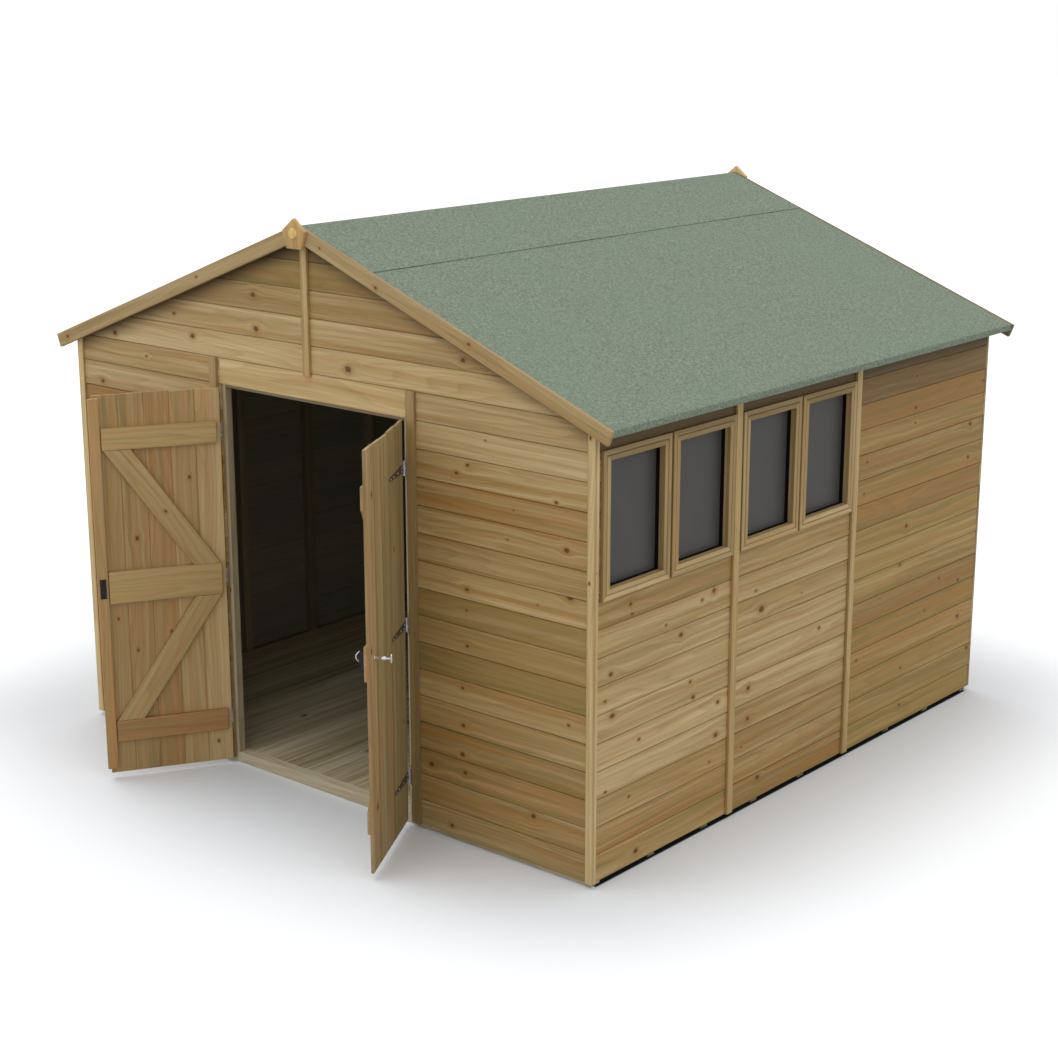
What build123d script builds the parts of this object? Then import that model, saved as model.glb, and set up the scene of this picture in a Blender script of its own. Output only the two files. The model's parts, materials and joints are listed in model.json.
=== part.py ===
from build123d import *
import os
from math import cos, sin, tan, radians, hypot

# Garden shed with a ridge roof, double ledged-and-braced doors and four fixed windows.
# Millimetres, +Z up. The front wall faces -Y, the windowed wall faces +X.
# Origin: on the ground, under the middle of the floor.

os.makedirs("parts", exist_ok=True)

# ---- overall sizes ----
wall_width = 2984.0        # between the outer faces of the side cladding
wall_depth = 2974.0        # between the outer faces of the end cladding
cladding = 12.0            # board thickness of walls and gables
frame_depth = 34.0         # studs and rails, square to the wall
stud_width = 45.0
rail_height = 45.0
rear_stud_count = 7
board_pitch = 113.3        # one row of cladding boards
cladding_bottom = 19.7
rows_to_window_sill = 10
rows_to_door_head = 15
rows_to_wall_top = 16

# ---- base ----
bearer_height = 34.0
bearer_width = 45.0
bearer_count = 9           # the first one is the door sill
deck_thickness = 12.0
sill_width = 56.0

# ---- roof ----
roof_pitch = 21.04         # degrees
roof_seat = 10.5           # roof boards above the wall top, at the outer face of the side cladding
eaves_overhang = 99.0      # from the side cladding
roof_overhang_front = 25.0
roof_overhang_rear = 26.0
felt_thickness = 3.0
deck_board = 12.0
felt_lip = 27.0
ridge_sheet_half = 430.0   # from the ridge down to the seam, on the slope
felt_lap = 75.0
felt_step = 4.0            # slope length in which the ridge sheet rises onto the lower ones
purlin_width = 34.0
purlin_depth = 45.0
purlin_first = 330.0       # from the ridge, on the slope
purlin_spacing = 475.0
purlins_per_slope = 3
rafter_depth = 45.0
collar_above_wall = 127.0
collar_board = 20.0
collar_lap = 60.0
collar_clear = 8.0
barge_thickness = 18.0
barge_face = 61.0
barge_above_felt = 4.0
barge_past_eave = 10.0
joint_gap = 0.3            # between pieces of one node that meet

# ---- trims ----
trim_proud = 8.0
trim_front_face = 36.0
trim_side_face = 26.0
strip_proud = 12.0
cover_strip_width = 40.0
strip_top_gap = 12.0       # cover strips stop under the eaves
door_batten_width = 44.0
door_batten_gap = 11.5     # from the cut edge of the cladding
gable_batten_width = 38.0
gable_batten_lap = 14.5    # below the gable's lowest board

# ---- doors ----
door_opening_half = 544.5  # to the cut edge of the cladding
jamb_lap = 19.5            # of the door studs past that edge
move_gap = 5.0             # between moving pieces and what they pass
leaf_thickness = 12.0
leaf_bottom = 28.0
leaf_bottom_gap = 8.0      # meeting strip above the sill, and below the door head
leaf_proud = 5.0           # closed leaf in front of the cladding face
leaf_boards = 5
groove_depth = 2.5
ledge_thickness = 20.0
ledge_to_strip = 4.0       # between the ledges and the meeting strip
ledge_height = 96.0
middle_ledge_height = 142.0
low_ledge_bottom = 175.0
middle_ledge_bottom = 801.0
top_ledge_drop = 147.0     # below the top of the leaf
brace_width = 96.0
brace_inset = 6.0
meeting_strip_width = 44.0
meeting_strip_lap = 17.0   # past the leaf's edge, behind the other leaf
door_head_lap = 15.0       # of the head rail below the cladding over the doors
left_open_angle = 120.5
right_open_angle = 119.2

# ---- tee hinges ----
knuckle_radius = 5.0
pin_radius = 2.5
pin_clearance = 0.1
knuckle_length = 30.0
knuckle_end_length = 14.0
knuckle_gap = 1.0
strap_thickness = 3.0
strap_length = 205.0
strap_root = 32.0
strap_tip = 16.0
plate_thickness = 2.5
plate_width = 30.0
plate_height = 90.0
plate_recess = 3.0
plate_side_gap = 1.0
strap_parallel = 26.0      # straight part of the strap next to the pin
pin_from_leaf_edge = 2.5
pin_from_leaf_face = 5.5

# ---- door lock ----
lock_from_free_edge = 79.0
rose_radius = 18.0
rose_thickness = 4.0
spindle_radius = 7.0
handle_standoff = 64.0
handle_bar_radius = 5.0
handle_bar_length = 40.0
lock_case_width = 56.0
lock_case_depth = 20.0
lock_case_height = 84.0
spindle_rise = 15.0        # above the middle of the case
turn_radius = 11.0
turn_length = 26.0
turn_grip_width = 12.0
turn_grip_depth = 8.0
turn_grip_height = 46.0
keep_width = 26.0
keep_thickness = 3.0
keep_height = 86.0

# ---- windows ----
window_width = 418.0
window_lap = 5.0           # over the boards above and below
window_front_gap = 34.5    # from the front cladding face
window_spacing = 12.0      # between the two frames of a bay
window_to_strip = 6.5
window_proud = 15.0
window_bar = 43.0
inner_frame_inset = 30.0
pane_thickness = 4.0
pane_setback = 28.0        # behind the outer cladding face
pane_gap = 0.2
sub_frame_gap = 1.0

# ---- finials ----
finial_thickness = 18.0
finial_rise = 30.0         # above the ridge
finial_shoulder_half = 66.0
finial_shoulder_drop = 21.0
finial_foot_half = 46.0
finial_foot_drop = 92.0
boss_radius = 22.0
boss_thickness = 8.0
boss_drop = 30.0

# ---- worked out from the sizes above ----
half_width = wall_width / 2
front = -(wall_depth / 2)
rear = wall_depth / 2
inner_half = half_width - cladding
frame_half = inner_half - frame_depth
wall_top = cladding_bottom + rows_to_wall_top * board_pitch
door_head = cladding_bottom + rows_to_door_head * board_pitch
window_sill = cladding_bottom + rows_to_window_sill * board_pitch
deck_top = bearer_height + deck_thickness
frame_front = front + cladding
frame_rear = rear - cladding
side_front = frame_front + frame_depth
side_rear = frame_rear - frame_depth
roof_front = front - roof_overhang_front
roof_rear = rear + roof_overhang_rear
pitch = radians(roof_pitch)
slope = tan(pitch)
roof_skin = felt_thickness + deck_board
ridge_height = wall_top + roof_seat + half_width * slope + roof_skin / cos(pitch)
roof_half_width = half_width + eaves_overhang
eave_height = ridge_height - roof_half_width * slope
slope_length = roof_half_width / cos(pitch)
pair_width = 2 * window_width + window_spacing
strip_space = cover_strip_width / 2 + window_to_strip
first_strip = front + window_front_gap + pair_width + strip_space
second_strip = first_strip + pair_width + 2 * strip_space
window_bottom = window_sill - window_lap
window_top = door_head + window_lap
window_fronts = []
for strip_y in (first_strip, second_strip):
    bay_end = strip_y - strip_space
    window_fronts += [bay_end - pair_width, bay_end - window_width]
leaf_top = door_head - move_gap
door_head_bottom = door_head - door_head_lap
jamb_half = door_opening_half - jamb_lap
door_batten_inner = door_opening_half + door_batten_gap
ledge_spans = (
    (low_ledge_bottom, low_ledge_bottom + ledge_height),
    (middle_ledge_bottom, middle_ledge_bottom + middle_ledge_height),
    (leaf_top - top_ledge_drop - ledge_height, leaf_top - top_ledge_drop),
)
hinge_heights = [(low + high) / 2 for low, high in ledge_spans]
lock_height = hinge_heights[1]
spindle_height = lock_height + spindle_rise
axis_x = door_opening_half - move_gap + pin_from_leaf_edge
axis_y = front - leaf_proud - pin_from_leaf_face
leaf_edge = door_opening_half - move_gap
leaf_width = leaf_edge - move_gap / 2
strip_near = leaf_width + meeting_strip_lap - meeting_strip_width
strip_far = leaf_width + meeting_strip_lap
ledge_near = leaf_edge - jamb_half + move_gap
ledge_far = strip_near - ledge_to_strip
leaf_face = front - leaf_proud
leaf_back = leaf_face + leaf_thickness


def slab(x0, x1, y0, y1, z0, z1):
    return Pos((x0 + x1) / 2, (y0 + y1) / 2, (z0 + z1) / 2) * Box(x1 - x0, y1 - y0, z1 - z0)


def along_y(points, y0, y1):
    """Prism of an (x, z) outline."""
    face = make_face(Polyline([(x, y0, z) for x, z in points], close=True))
    return extrude(face, amount=y1 - y0, dir=(0, 1, 0))


def along_z(points, z0, z1):
    """Prism of an (x, y) outline."""
    face = make_face(Polyline([(x, y, z0) for x, y in points], close=True))
    return extrude(face, amount=z1 - z0, dir=(0, 0, 1))


def on_slope(side, run, drop):
    """Point of the roof section: run down the slope from the ridge, drop square under the felt top."""
    x = run * cos(pitch) - drop * sin(pitch)
    z = ridge_height - run * sin(pitch) - drop * cos(pitch)
    return side * x, z


def under_roof(x, drop):
    """Height of a line parallel to the slope, drop square under the felt top."""
    return ridge_height - abs(x) * slope - drop / cos(pitch)


def mirrored(points, side):
    return [(side * x, z) for x, z in points]


def write(node, *solids):
    flat = []
    for shape in solids:
        flat += list(shape.solids())
    for solid in flat:
        solid.label = node
    export_step(flat[0] if len(flat) == 1 else Compound(label=node, children=flat), f"parts/{node}.step")


# ---- floor ----
bearer_step = (frame_rear - frame_front - bearer_width) / (bearer_count - 1)
bearers = []
for k in range(1, bearer_count):
    centre = frame_front + bearer_width / 2 + k * bearer_step
    bearers.append(slab(-inner_half, inner_half, centre - bearer_width / 2, centre + bearer_width / 2, 0, bearer_height))
write("floor_bearers", *bearers)
write("front_sill", slab(-inner_half, inner_half, frame_front, frame_front + sill_width, 0, deck_top))
write("floor_deck", slab(-inner_half, inner_half, frame_front + sill_width, frame_rear, bearer_height, deck_top))

# ---- cladding of the walls ----
write("front_wall_left", slab(-half_width, -door_opening_half, front, frame_front, cladding_bottom, wall_top))
write("front_wall_right", slab(door_opening_half, half_width, front, frame_front, cladding_bottom, wall_top))
write("header_panel", slab(-door_opening_half, door_opening_half, front, frame_front, door_head, wall_top))
gable = [
    (-half_width, wall_top),
    (half_width, wall_top),
    (half_width, under_roof(half_width, roof_skin)),
    (0, under_roof(0, roof_skin)),
    (-half_width, under_roof(half_width, roof_skin)),
]
write("front_gable", along_y(gable, front, frame_front))
write("rear_gable", along_y(gable, frame_rear, rear))
write("rear_wall", slab(-half_width, half_width, frame_rear, rear, cladding_bottom, wall_top))
write("left_wall", slab(-half_width, -inner_half, frame_front, frame_rear, cladding_bottom, wall_top))

plain_from = second_strip
write("right_wall_lower", slab(inner_half, half_width, frame_front, plain_from, cladding_bottom, window_sill))
write("right_wall_rear", slab(inner_half, half_width, plain_from, frame_rear, cladding_bottom, wall_top))

# the windows' inner frames pass through the cladding between these pieces
holes = []
for start in window_fronts:
    holes.append((start + inner_frame_inset, start + window_width - inner_frame_inset))
hole_bottom = window_bottom + inner_frame_inset
hole_top = window_top - inner_frame_inset
surround = []
edges = [frame_front] + [y for hole in holes for y in (hole[0] - sub_frame_gap, hole[1] + sub_frame_gap)] + [plain_from]
for k in range(0, len(edges), 2):
    surround.append(
        slab(inner_half, half_width, edges[k], edges[k + 1] - joint_gap, hole_bottom - sub_frame_gap, hole_top + sub_frame_gap)
    )
surround.append(
    slab(inner_half, half_width, frame_front, plain_from - joint_gap, window_sill, hole_bottom - sub_frame_gap - joint_gap)
)
surround.append(
    slab(inner_half, half_width, frame_front, plain_from - joint_gap, hole_top + sub_frame_gap + joint_gap, wall_top)
)
write("window_surround", *surround)

# ---- wall frames ----
top_rail = wall_top - rail_height
floor_rail = deck_top + rail_height
corner_stud = inner_half - stud_width
end_studs = []
for side in (-1, 1):
    for near, foot_z in ((jamb_half, deck_top), ((jamb_half + corner_stud) / 2, floor_rail), (corner_stud, floor_rail)):
        x0, x1 = sorted((side * near, side * (near + stud_width)))
        end_studs.append(slab(x0, x1, frame_front, side_front, foot_z, top_rail))
for k in range(rear_stud_count):
    x = -inner_half + k * (inner_half + corner_stud) / (rear_stud_count - 1)
    end_studs.append(slab(x, x + stud_width, side_rear, frame_rear, floor_rail, top_rail))
write("end_wall_studs", *end_studs)

end_rails = [
    slab(-inner_half, inner_half, frame_front, side_front, top_rail, wall_top),
    slab(-inner_half, inner_half, side_rear, frame_rear, top_rail, wall_top),
    slab(-inner_half, inner_half, side_rear, frame_rear, deck_top, floor_rail),
]
for side in (-1, 1):
    x0, x1 = sorted((side * (jamb_half + stud_width), side * inner_half))
    end_rails.append(slab(x0, x1, frame_front, side_front, deck_top, floor_rail))
write("end_wall_rails", *end_rails)
write("door_head", slab(-jamb_half, jamb_half, frame_front, side_front, door_head_bottom, top_rail))

side_studs, side_rails, window_rails = [], [], []
between_first = (holes[0][1] + holes[1][0]) / 2
between_last = (holes[2][1] + holes[3][0]) / 2
end_stud = holes[0][0] - sub_frame_gap - side_front
right_studs = [
    (side_front, end_stud),
    (between_first - stud_width / 2, stud_width),
    (first_strip - stud_width / 2, stud_width),
    (between_last - stud_width / 2, stud_width),
    (second_strip - stud_width / 2, stud_width),
    ((second_strip + side_rear - stud_width) / 2 - stud_width / 2, stud_width),
    (side_rear - stud_width, stud_width),
]
left_studs = [
    (side_front, stud_width),
    (between_first - stud_width / 2, stud_width),
    (first_strip - stud_width / 2, stud_width),
    (between_last - stud_width / 2, stud_width),
    (second_strip - stud_width / 2, stud_width),
    ((second_strip + side_rear - stud_width) / 2 - stud_width / 2, stud_width),
    (side_rear - stud_width, stud_width),
]
for side, studs in ((1, right_studs), (-1, left_studs)):
    x0, x1 = sorted((side * frame_half, side * inner_half))
    for y, width in studs:
        side_studs.append(slab(x0, x1, y, y + width, floor_rail, top_rail))
    side_rails.append(slab(x0, x1, side_front, side_rear, deck_top, floor_rail))
    bevel = [
        (frame_half, top_rail),
        (inner_half, top_rail),
        (inner_half, under_roof(inner_half, roof_skin)),
        (frame_half, under_roof(frame_half, roof_skin)),
    ]
    side_rails.append(along_y(mirrored(bevel, side), side_front, side_rear))
for k, (y, width) in enumerate(right_studs[:4]):
    y0, y1 = y + width, right_studs[k + 1][0]
    window_rails.append(slab(frame_half, inner_half, y0, y1, hole_bottom - sub_frame_gap - rail_height, hole_bottom - sub_frame_gap))
    window_rails.append(slab(frame_half, inner_half, y0, y1, hole_top + sub_frame_gap, hole_top + sub_frame_gap + rail_height))
write("side_wall_studs", *side_studs)
write("side_wall_rails", *side_rails)
write("window_rails", *window_rails)

# ---- gable frames and the middle truss ----
rafter_low = roof_skin + rafter_depth
foot = (ridge_height - rafter_low / cos(pitch) - wall_top) / slope
post_half = stud_width / 2
rafter = [
    (post_half + joint_gap, under_roof(post_half + joint_gap, roof_skin)),
    (inner_half, under_roof(inner_half, roof_skin)),
    (inner_half, wall_top),
    (foot, wall_top),
    (post_half + joint_gap, under_roof(post_half + joint_gap, rafter_low)),
]
post = [
    (-post_half, wall_top),
    (post_half, wall_top),
    (post_half, under_roof(post_half, roof_skin)),
    (0, under_roof(0, roof_skin)),
    (-post_half, under_roof(post_half, roof_skin)),
]
gable_frames = []
for y0, y1 in ((frame_front, side_front), (side_rear, frame_rear)):
    gable_frames.append(along_y(post, y0, y1))
    for side in (-1, 1):
        gable_frames.append(along_y(mirrored(rafter, side), y0, y1))
write("gable_frames", *gable_frames)

truss_front, truss_rear = -stud_width / 2, stud_width / 2
truss_rafter = [
    (joint_gap, under_roof(joint_gap, roof_skin)),
    (frame_half, under_roof(frame_half, roof_skin)),
    (frame_half, under_roof(frame_half, rafter_low)),
    (joint_gap, under_roof(joint_gap, rafter_low)),
]
collar_height = wall_top + collar_above_wall
collar_low_half = (ridge_height - rafter_low / cos(pitch) - collar_height) / slope + collar_lap
collar_top = collar_height + rail_height
collar_top_half = (ridge_height - (roof_skin + collar_clear) / cos(pitch) - collar_top) / slope
collar = [
    (-collar_low_half, collar_height),
    (collar_low_half, collar_height),
    (collar_top_half, collar_top),
    (-collar_top_half, collar_top),
]
write(
    "roof_truss",
    *[along_y(mirrored(truss_rafter, side), truss_front, truss_rear) for side in (-1, 1)],
    along_y(collar, truss_front - joint_gap - collar_board, truss_front - joint_gap),
)

# ---- purlins, roof boards and felt ----
purlins = []
for side in (-1, 1):
    for k in range(purlins_per_slope):
        run = purlin_first + k * purlin_spacing
        section = [
            on_slope(side, run - purlin_width / 2, roof_skin),
            on_slope(side, run + purlin_width / 2, roof_skin),
            on_slope(side, run + purlin_width / 2, roof_skin + purlin_depth),
            on_slope(side, run - purlin_width / 2, roof_skin + purlin_depth),
        ]
        purlins.append(along_y(section, side_front, truss_front))
        purlins.append(along_y(section, truss_rear, side_rear))
write("roof_purlins", *purlins)

board_half = roof_half_width - felt_thickness
for side, name in ((-1, "left"), (1, "right")):
    boards = [
        (0, under_roof(0, felt_thickness)),
        (board_half, under_roof(board_half, felt_thickness)),
        (board_half, under_roof(board_half, roof_skin)),
        (0, under_roof(0, roof_skin)),
    ]
    write(f"roof_deck_{name}", along_y(mirrored(boards, side), roof_front, roof_rear))
    lap_top = ridge_sheet_half - felt_lap
    start = on_slope(1, lap_top, 0)
    under = on_slope(1, lap_top, felt_thickness)
    sheet = [
        start,
        (roof_half_width, eave_height),
        (roof_half_width, eave_height - felt_lip),
        (board_half, eave_height - felt_lip),
        (board_half, under_roof(board_half, felt_thickness)),
        under,
    ]
    write(f"felt_{name}", along_y(mirrored(sheet, side), roof_front, roof_rear))

# the ridge sheet lies on the boards, then steps over the lower sheets
step_end = lap_top - joint_gap
right_side = [
    on_slope(1, step_end - felt_step, 0),
    on_slope(1, step_end, -felt_thickness),
    on_slope(1, ridge_sheet_half, -felt_thickness),
    on_slope(1, ridge_sheet_half, 0),
    on_slope(1, step_end, 0),
    on_slope(1, step_end, felt_thickness),
]
left_side = [(-x, z) for x, z in reversed(right_side)]
ridge_sheet = [(0, ridge_height)] + right_side + [(0, under_roof(0, felt_thickness))] + left_side
write("felt_ridge", along_y(ridge_sheet, roof_front, roof_rear))

# ---- trims outside ----
trims = []
trim_x = half_width + trim_proud
trim_y = front - trim_proud
for side in (-1, 1):
    corner = [
        (side * half_width, front),
        (side * (trim_x - trim_front_face), front),
        (side * (trim_x - trim_front_face), trim_y),
        (side * trim_x, trim_y),
        (side * trim_x, trim_y + trim_side_face),
        (side * half_width, trim_y + trim_side_face),
    ]
    trims.append(along_z(corner, cladding_bottom, wall_top))
    rear_x = sorted((side * (half_width - trim_front_face), side * half_width))
    trims.append(slab(*rear_x, rear, rear + trim_proud, cladding_bottom, wall_top))
write("corner_trims", *trims)

strips = []
for side in (-1, 1):
    x0, x1 = sorted((side * half_width, side * (half_width + strip_proud)))
    for y in (first_strip, second_strip):
        strips.append(slab(x0, x1, y - cover_strip_width / 2, y + cover_strip_width / 2, cladding_bottom, wall_top - strip_top_gap))
gable_batten_bottom = wall_top - gable_batten_lap
half = cover_strip_width / 2
strips.append(slab(-half, half, rear, rear + strip_proud, cladding_bottom, gable_batten_bottom - joint_gap))
half = gable_batten_width / 2
batten = [
    (-half, gable_batten_bottom),
    (half, gable_batten_bottom),
    (half, under_roof(half, roof_skin)),
    (0, under_roof(0, roof_skin)),
    (-half, under_roof(half, roof_skin)),
]
strips.append(along_y(batten, rear, rear + strip_proud))
write("cover_strips", *strips)

# door battens are housed over the hinge plates
battens = [along_y(batten, front - strip_proud, front)]
for side in (-1, 1):
    x0, x1 = sorted((side * door_batten_inner, side * (door_batten_inner + door_batten_width)))
    strip = slab(x0, x1, front - strip_proud, front, cladding_bottom, wall_top)
    h0, h1 = sorted((side * door_opening_half, side * (door_opening_half + plate_width + plate_side_gap)))
    for z in hinge_heights:
        half = plate_height / 2 + plate_side_gap
        strip -= slab(h0, h1, front - plate_recess, front, z - half, z + half)
    battens.append(strip)
write("front_battens", *battens)

barges = []
run_end = slope_length + barge_past_eave
for side in (-1, 1):
    low_x = joint_gap
    outline = [
        (side * low_x, under_roof(low_x, -barge_above_felt)),
        on_slope(side, run_end, -barge_above_felt),
        on_slope(side, run_end, barge_face - barge_above_felt),
        (side * low_x, under_roof(low_x, barge_face - barge_above_felt)),
    ]
    barges.append(along_y(outline, roof_front - barge_thickness, roof_front))
    barges.append(along_y(outline, roof_rear, roof_rear + barge_thickness))
write("bargeboards", *barges)

finial_outline = [
    (0, ridge_height + finial_rise),
    (finial_shoulder_half, ridge_height - finial_shoulder_drop),
    (finial_foot_half, ridge_height - finial_foot_drop),
    (-finial_foot_half, ridge_height - finial_foot_drop),
    (-finial_shoulder_half, ridge_height - finial_shoulder_drop),
]
finials = []
for sy, face in ((-1, roof_front - barge_thickness), (1, roof_rear + barge_thickness)):
    y0, y1 = sorted((face, face + sy * finial_thickness))
    plate = along_y(finial_outline, y0, y1)
    boss_y = face + sy * (finial_thickness + boss_thickness / 2)
    boss = Pos(0, boss_y, ridge_height - boss_drop) * Rot(90, 0, 0) * Cylinder(boss_radius, boss_thickness)
    finials.append(plate + boss)
write("finials", *finials)

# ---- windows ----
frames, panes = [], []
for y0 in window_fronts:
    y1 = y0 + window_width
    inset = inner_frame_inset
    bar = window_bar
    ring = slab(half_width, half_width + window_proud, y0, y1, window_bottom, window_top)
    inner = slab(frame_half, half_width, y0 + inset, y1 - inset, window_bottom + inset, window_top - inset)
    clear = slab(frame_half, half_width + window_proud, y0 + bar, y1 - bar, window_bottom + bar, window_top - bar)
    frames.append(ring + inner - clear)
    x = half_width - pane_setback
    bar += pane_gap
    panes.append(slab(x - pane_thickness, x, y0 + bar, y1 - bar, window_bottom + bar, window_top - bar))
write("window_frames", *frames)
write("window_panes", *panes)


# ---- doors, built shut and then turned about their hinge pins ----
def turned(shape, side):
    angle = left_open_angle if side < 0 else right_open_angle
    return Pos(side * axis_x, axis_y, 0) * Rot(0, 0, side * angle) * Pos(-side * axis_x, -axis_y, 0) * shape


def across(side, near, far):
    """x range of something between two distances from the leaf's hinge edge."""
    return sorted((side * (leaf_edge - near), side * (leaf_edge - far)))


def leaf(side):
    x0, x1 = across(side, 0, leaf_width)
    body = slab(x0, x1, leaf_face, leaf_back, leaf_bottom, leaf_top)
    for k in range(1, leaf_boards):
        x = side * (leaf_edge - k * leaf_width / leaf_boards)
        for y, inward in ((leaf_face, 1), (leaf_back, -1)):
            vee = [(x - groove_depth, y), (x + groove_depth, y), (x, y + inward * groove_depth)]
            body -= along_z(vee, leaf_bottom, leaf_top)
    return turned(body, side)


def bracing(side):
    """Three ledges and two braces that rise from the hinge side of the middle ledge."""
    pieces = []
    x0, x1 = across(side, ledge_near, ledge_far)
    for low, high in ledge_spans:
        pieces.append(slab(x0, x1, leaf_back, leaf_back + ledge_thickness, low, high))
    near, far = ledge_near + brace_inset, ledge_far - brace_inset
    low_ledge, mid_ledge, top_ledge = ledge_spans
    for z_hinge, z_free in ((mid_ledge[1], top_ledge[0]), (mid_ledge[0], low_ledge[1])):
        rise = z_free - z_hinge
        step = joint_gap if rise > 0 else -joint_gap
        run = far - near
        # the cut across the brace's end, from its width and its lean
        cut = brace_width
        for _ in range(20):
            cut = brace_width * hypot(run - cut, rise) / abs(rise)
        outline = [
            (near, z_hinge + step),
            (near + cut, z_hinge + step),
            (far, z_free - step),
            (far - cut, z_free - step),
        ]
        outline = [(side * (leaf_edge - d), z) for d, z in outline]
        pieces.append(along_y(outline, leaf_back, leaf_back + ledge_thickness))
    return [turned(piece, side) for piece in pieces]


def strap(side, z):
    half_root, half_tip = strap_root / 2, strap_tip / 2
    near = -pin_from_leaf_edge
    shoulder = knuckle_radius - pin_from_leaf_edge + knuckle_gap
    half_barrel = knuckle_length / 2
    outline = [
        (near, z - half_barrel),
        (shoulder, z - half_barrel),
        (shoulder, z - half_root),
        (strap_parallel, z - half_root),
        (strap_length - half_tip, z - half_tip),
        (strap_length, z - half_tip * 0.4),
        (strap_length, z + half_tip * 0.4),
        (strap_length - half_tip, z + half_tip),
        (strap_parallel, z + half_root),
        (shoulder, z + half_root),
        (shoulder, z + half_barrel),
        (near, z + half_barrel),
    ]
    outline = [(side * (leaf_edge - d), h) for d, h in outline]
    tongue = along_y(outline, leaf_face - strap_thickness, leaf_face)
    barrel = Pos(side * axis_x, axis_y, z) * Cylinder(knuckle_radius, knuckle_length)
    bore = Pos(side * axis_x, axis_y, z) * Cylinder(pin_radius + pin_clearance, strap_root)
    return turned(tongue + barrel - bore, side)


def plate(side, z):
    x0, x1 = sorted((side * (axis_x + pin_radius), side * (door_opening_half + plate_width)))
    body = slab(x0, x1, front - plate_thickness, front, z - plate_height / 2, z + plate_height / 2)
    ends = knuckle_length / 2 + knuckle_gap
    for way in (-1, 1):
        mid = z + way * (ends + knuckle_end_length / 2)
        low, high = mid - knuckle_end_length / 2, mid + knuckle_end_length / 2
        body += Pos(side * axis_x, axis_y, mid) * Cylinder(knuckle_radius, knuckle_end_length)
        w0, w1 = sorted((side * axis_x, side * (axis_x + knuckle_radius)))
        body += slab(w0, w1, axis_y, front, low, high)
    body += Pos(side * axis_x, axis_y, z) * Cylinder(pin_radius, 2 * ends + knuckle_end_length)
    return body


hinge_plates = [plate(side, z) for side in (-1, 1) for z in hinge_heights]
write("hinge_plates", *hinge_plates)
for side, name in ((-1, "left"), (1, "right")):
    write(f"{name}_leaf", leaf(side))
    write(f"{name}_bracing", *bracing(side))
    write(f"{name}_straps", *[strap(side, z) for z in hinge_heights])

# rebated strip on the left leaf, which the right leaf shuts against
rebate = [
    (strip_near, 0),
    (leaf_width, 0),
    (leaf_width, move_gap),
    (strip_far, move_gap),
    (strip_far, ledge_thickness),
    (strip_near, ledge_thickness),
]
rebated = [(-(leaf_edge - d), leaf_back + y) for d, y in rebate]
strip = along_z(rebated, deck_top + leaf_bottom_gap, door_head_bottom - leaf_bottom_gap)
write("meeting_strip", turned(strip, -1))
keep_mid = (strip_near + strip_far) / 2
keep_x = across(-1, keep_mid - keep_width / 2, keep_mid + keep_width / 2)
keep_y = leaf_back + ledge_thickness
keep = slab(*keep_x, keep_y, keep_y + keep_thickness, lock_height - keep_height / 2, lock_height + keep_height / 2)
write("strike_plate", turned(keep, -1))

# T handle outside, rim case and turn inside, on one spindle line
lock_x = move_gap / 2 + lock_from_free_edge
outside = leaf_face
inside = leaf_back + ledge_thickness


def bar(radius, y0, y1):
    return Pos(lock_x, (y0 + y1) / 2, spindle_height) * Rot(90, 0, 0) * Cylinder(radius, y1 - y0)


handle = bar(rose_radius, outside - rose_thickness, outside) + bar(spindle_radius, outside - handle_standoff, outside)
grip = Pos(lock_x, outside - handle_standoff, spindle_height) * Cylinder(handle_bar_radius, handle_bar_length)
handle += grip
case_face = inside + lock_case_depth
case = slab(
    lock_x - lock_case_width / 2,
    lock_x + lock_case_width / 2,
    inside,
    case_face,
    lock_height - lock_case_height / 2,
    lock_height + lock_case_height / 2,
)
turn = bar(turn_radius, case_face, case_face + turn_length)
grip_y = case_face + turn_length - turn_grip_depth / 2
turn_grip = Pos(lock_x, grip_y, spindle_height) * Box(turn_grip_width, turn_grip_depth, turn_grip_height)
write("door_lock", turned(handle, 1), turned(case + turn + turn_grip, 1))
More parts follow.
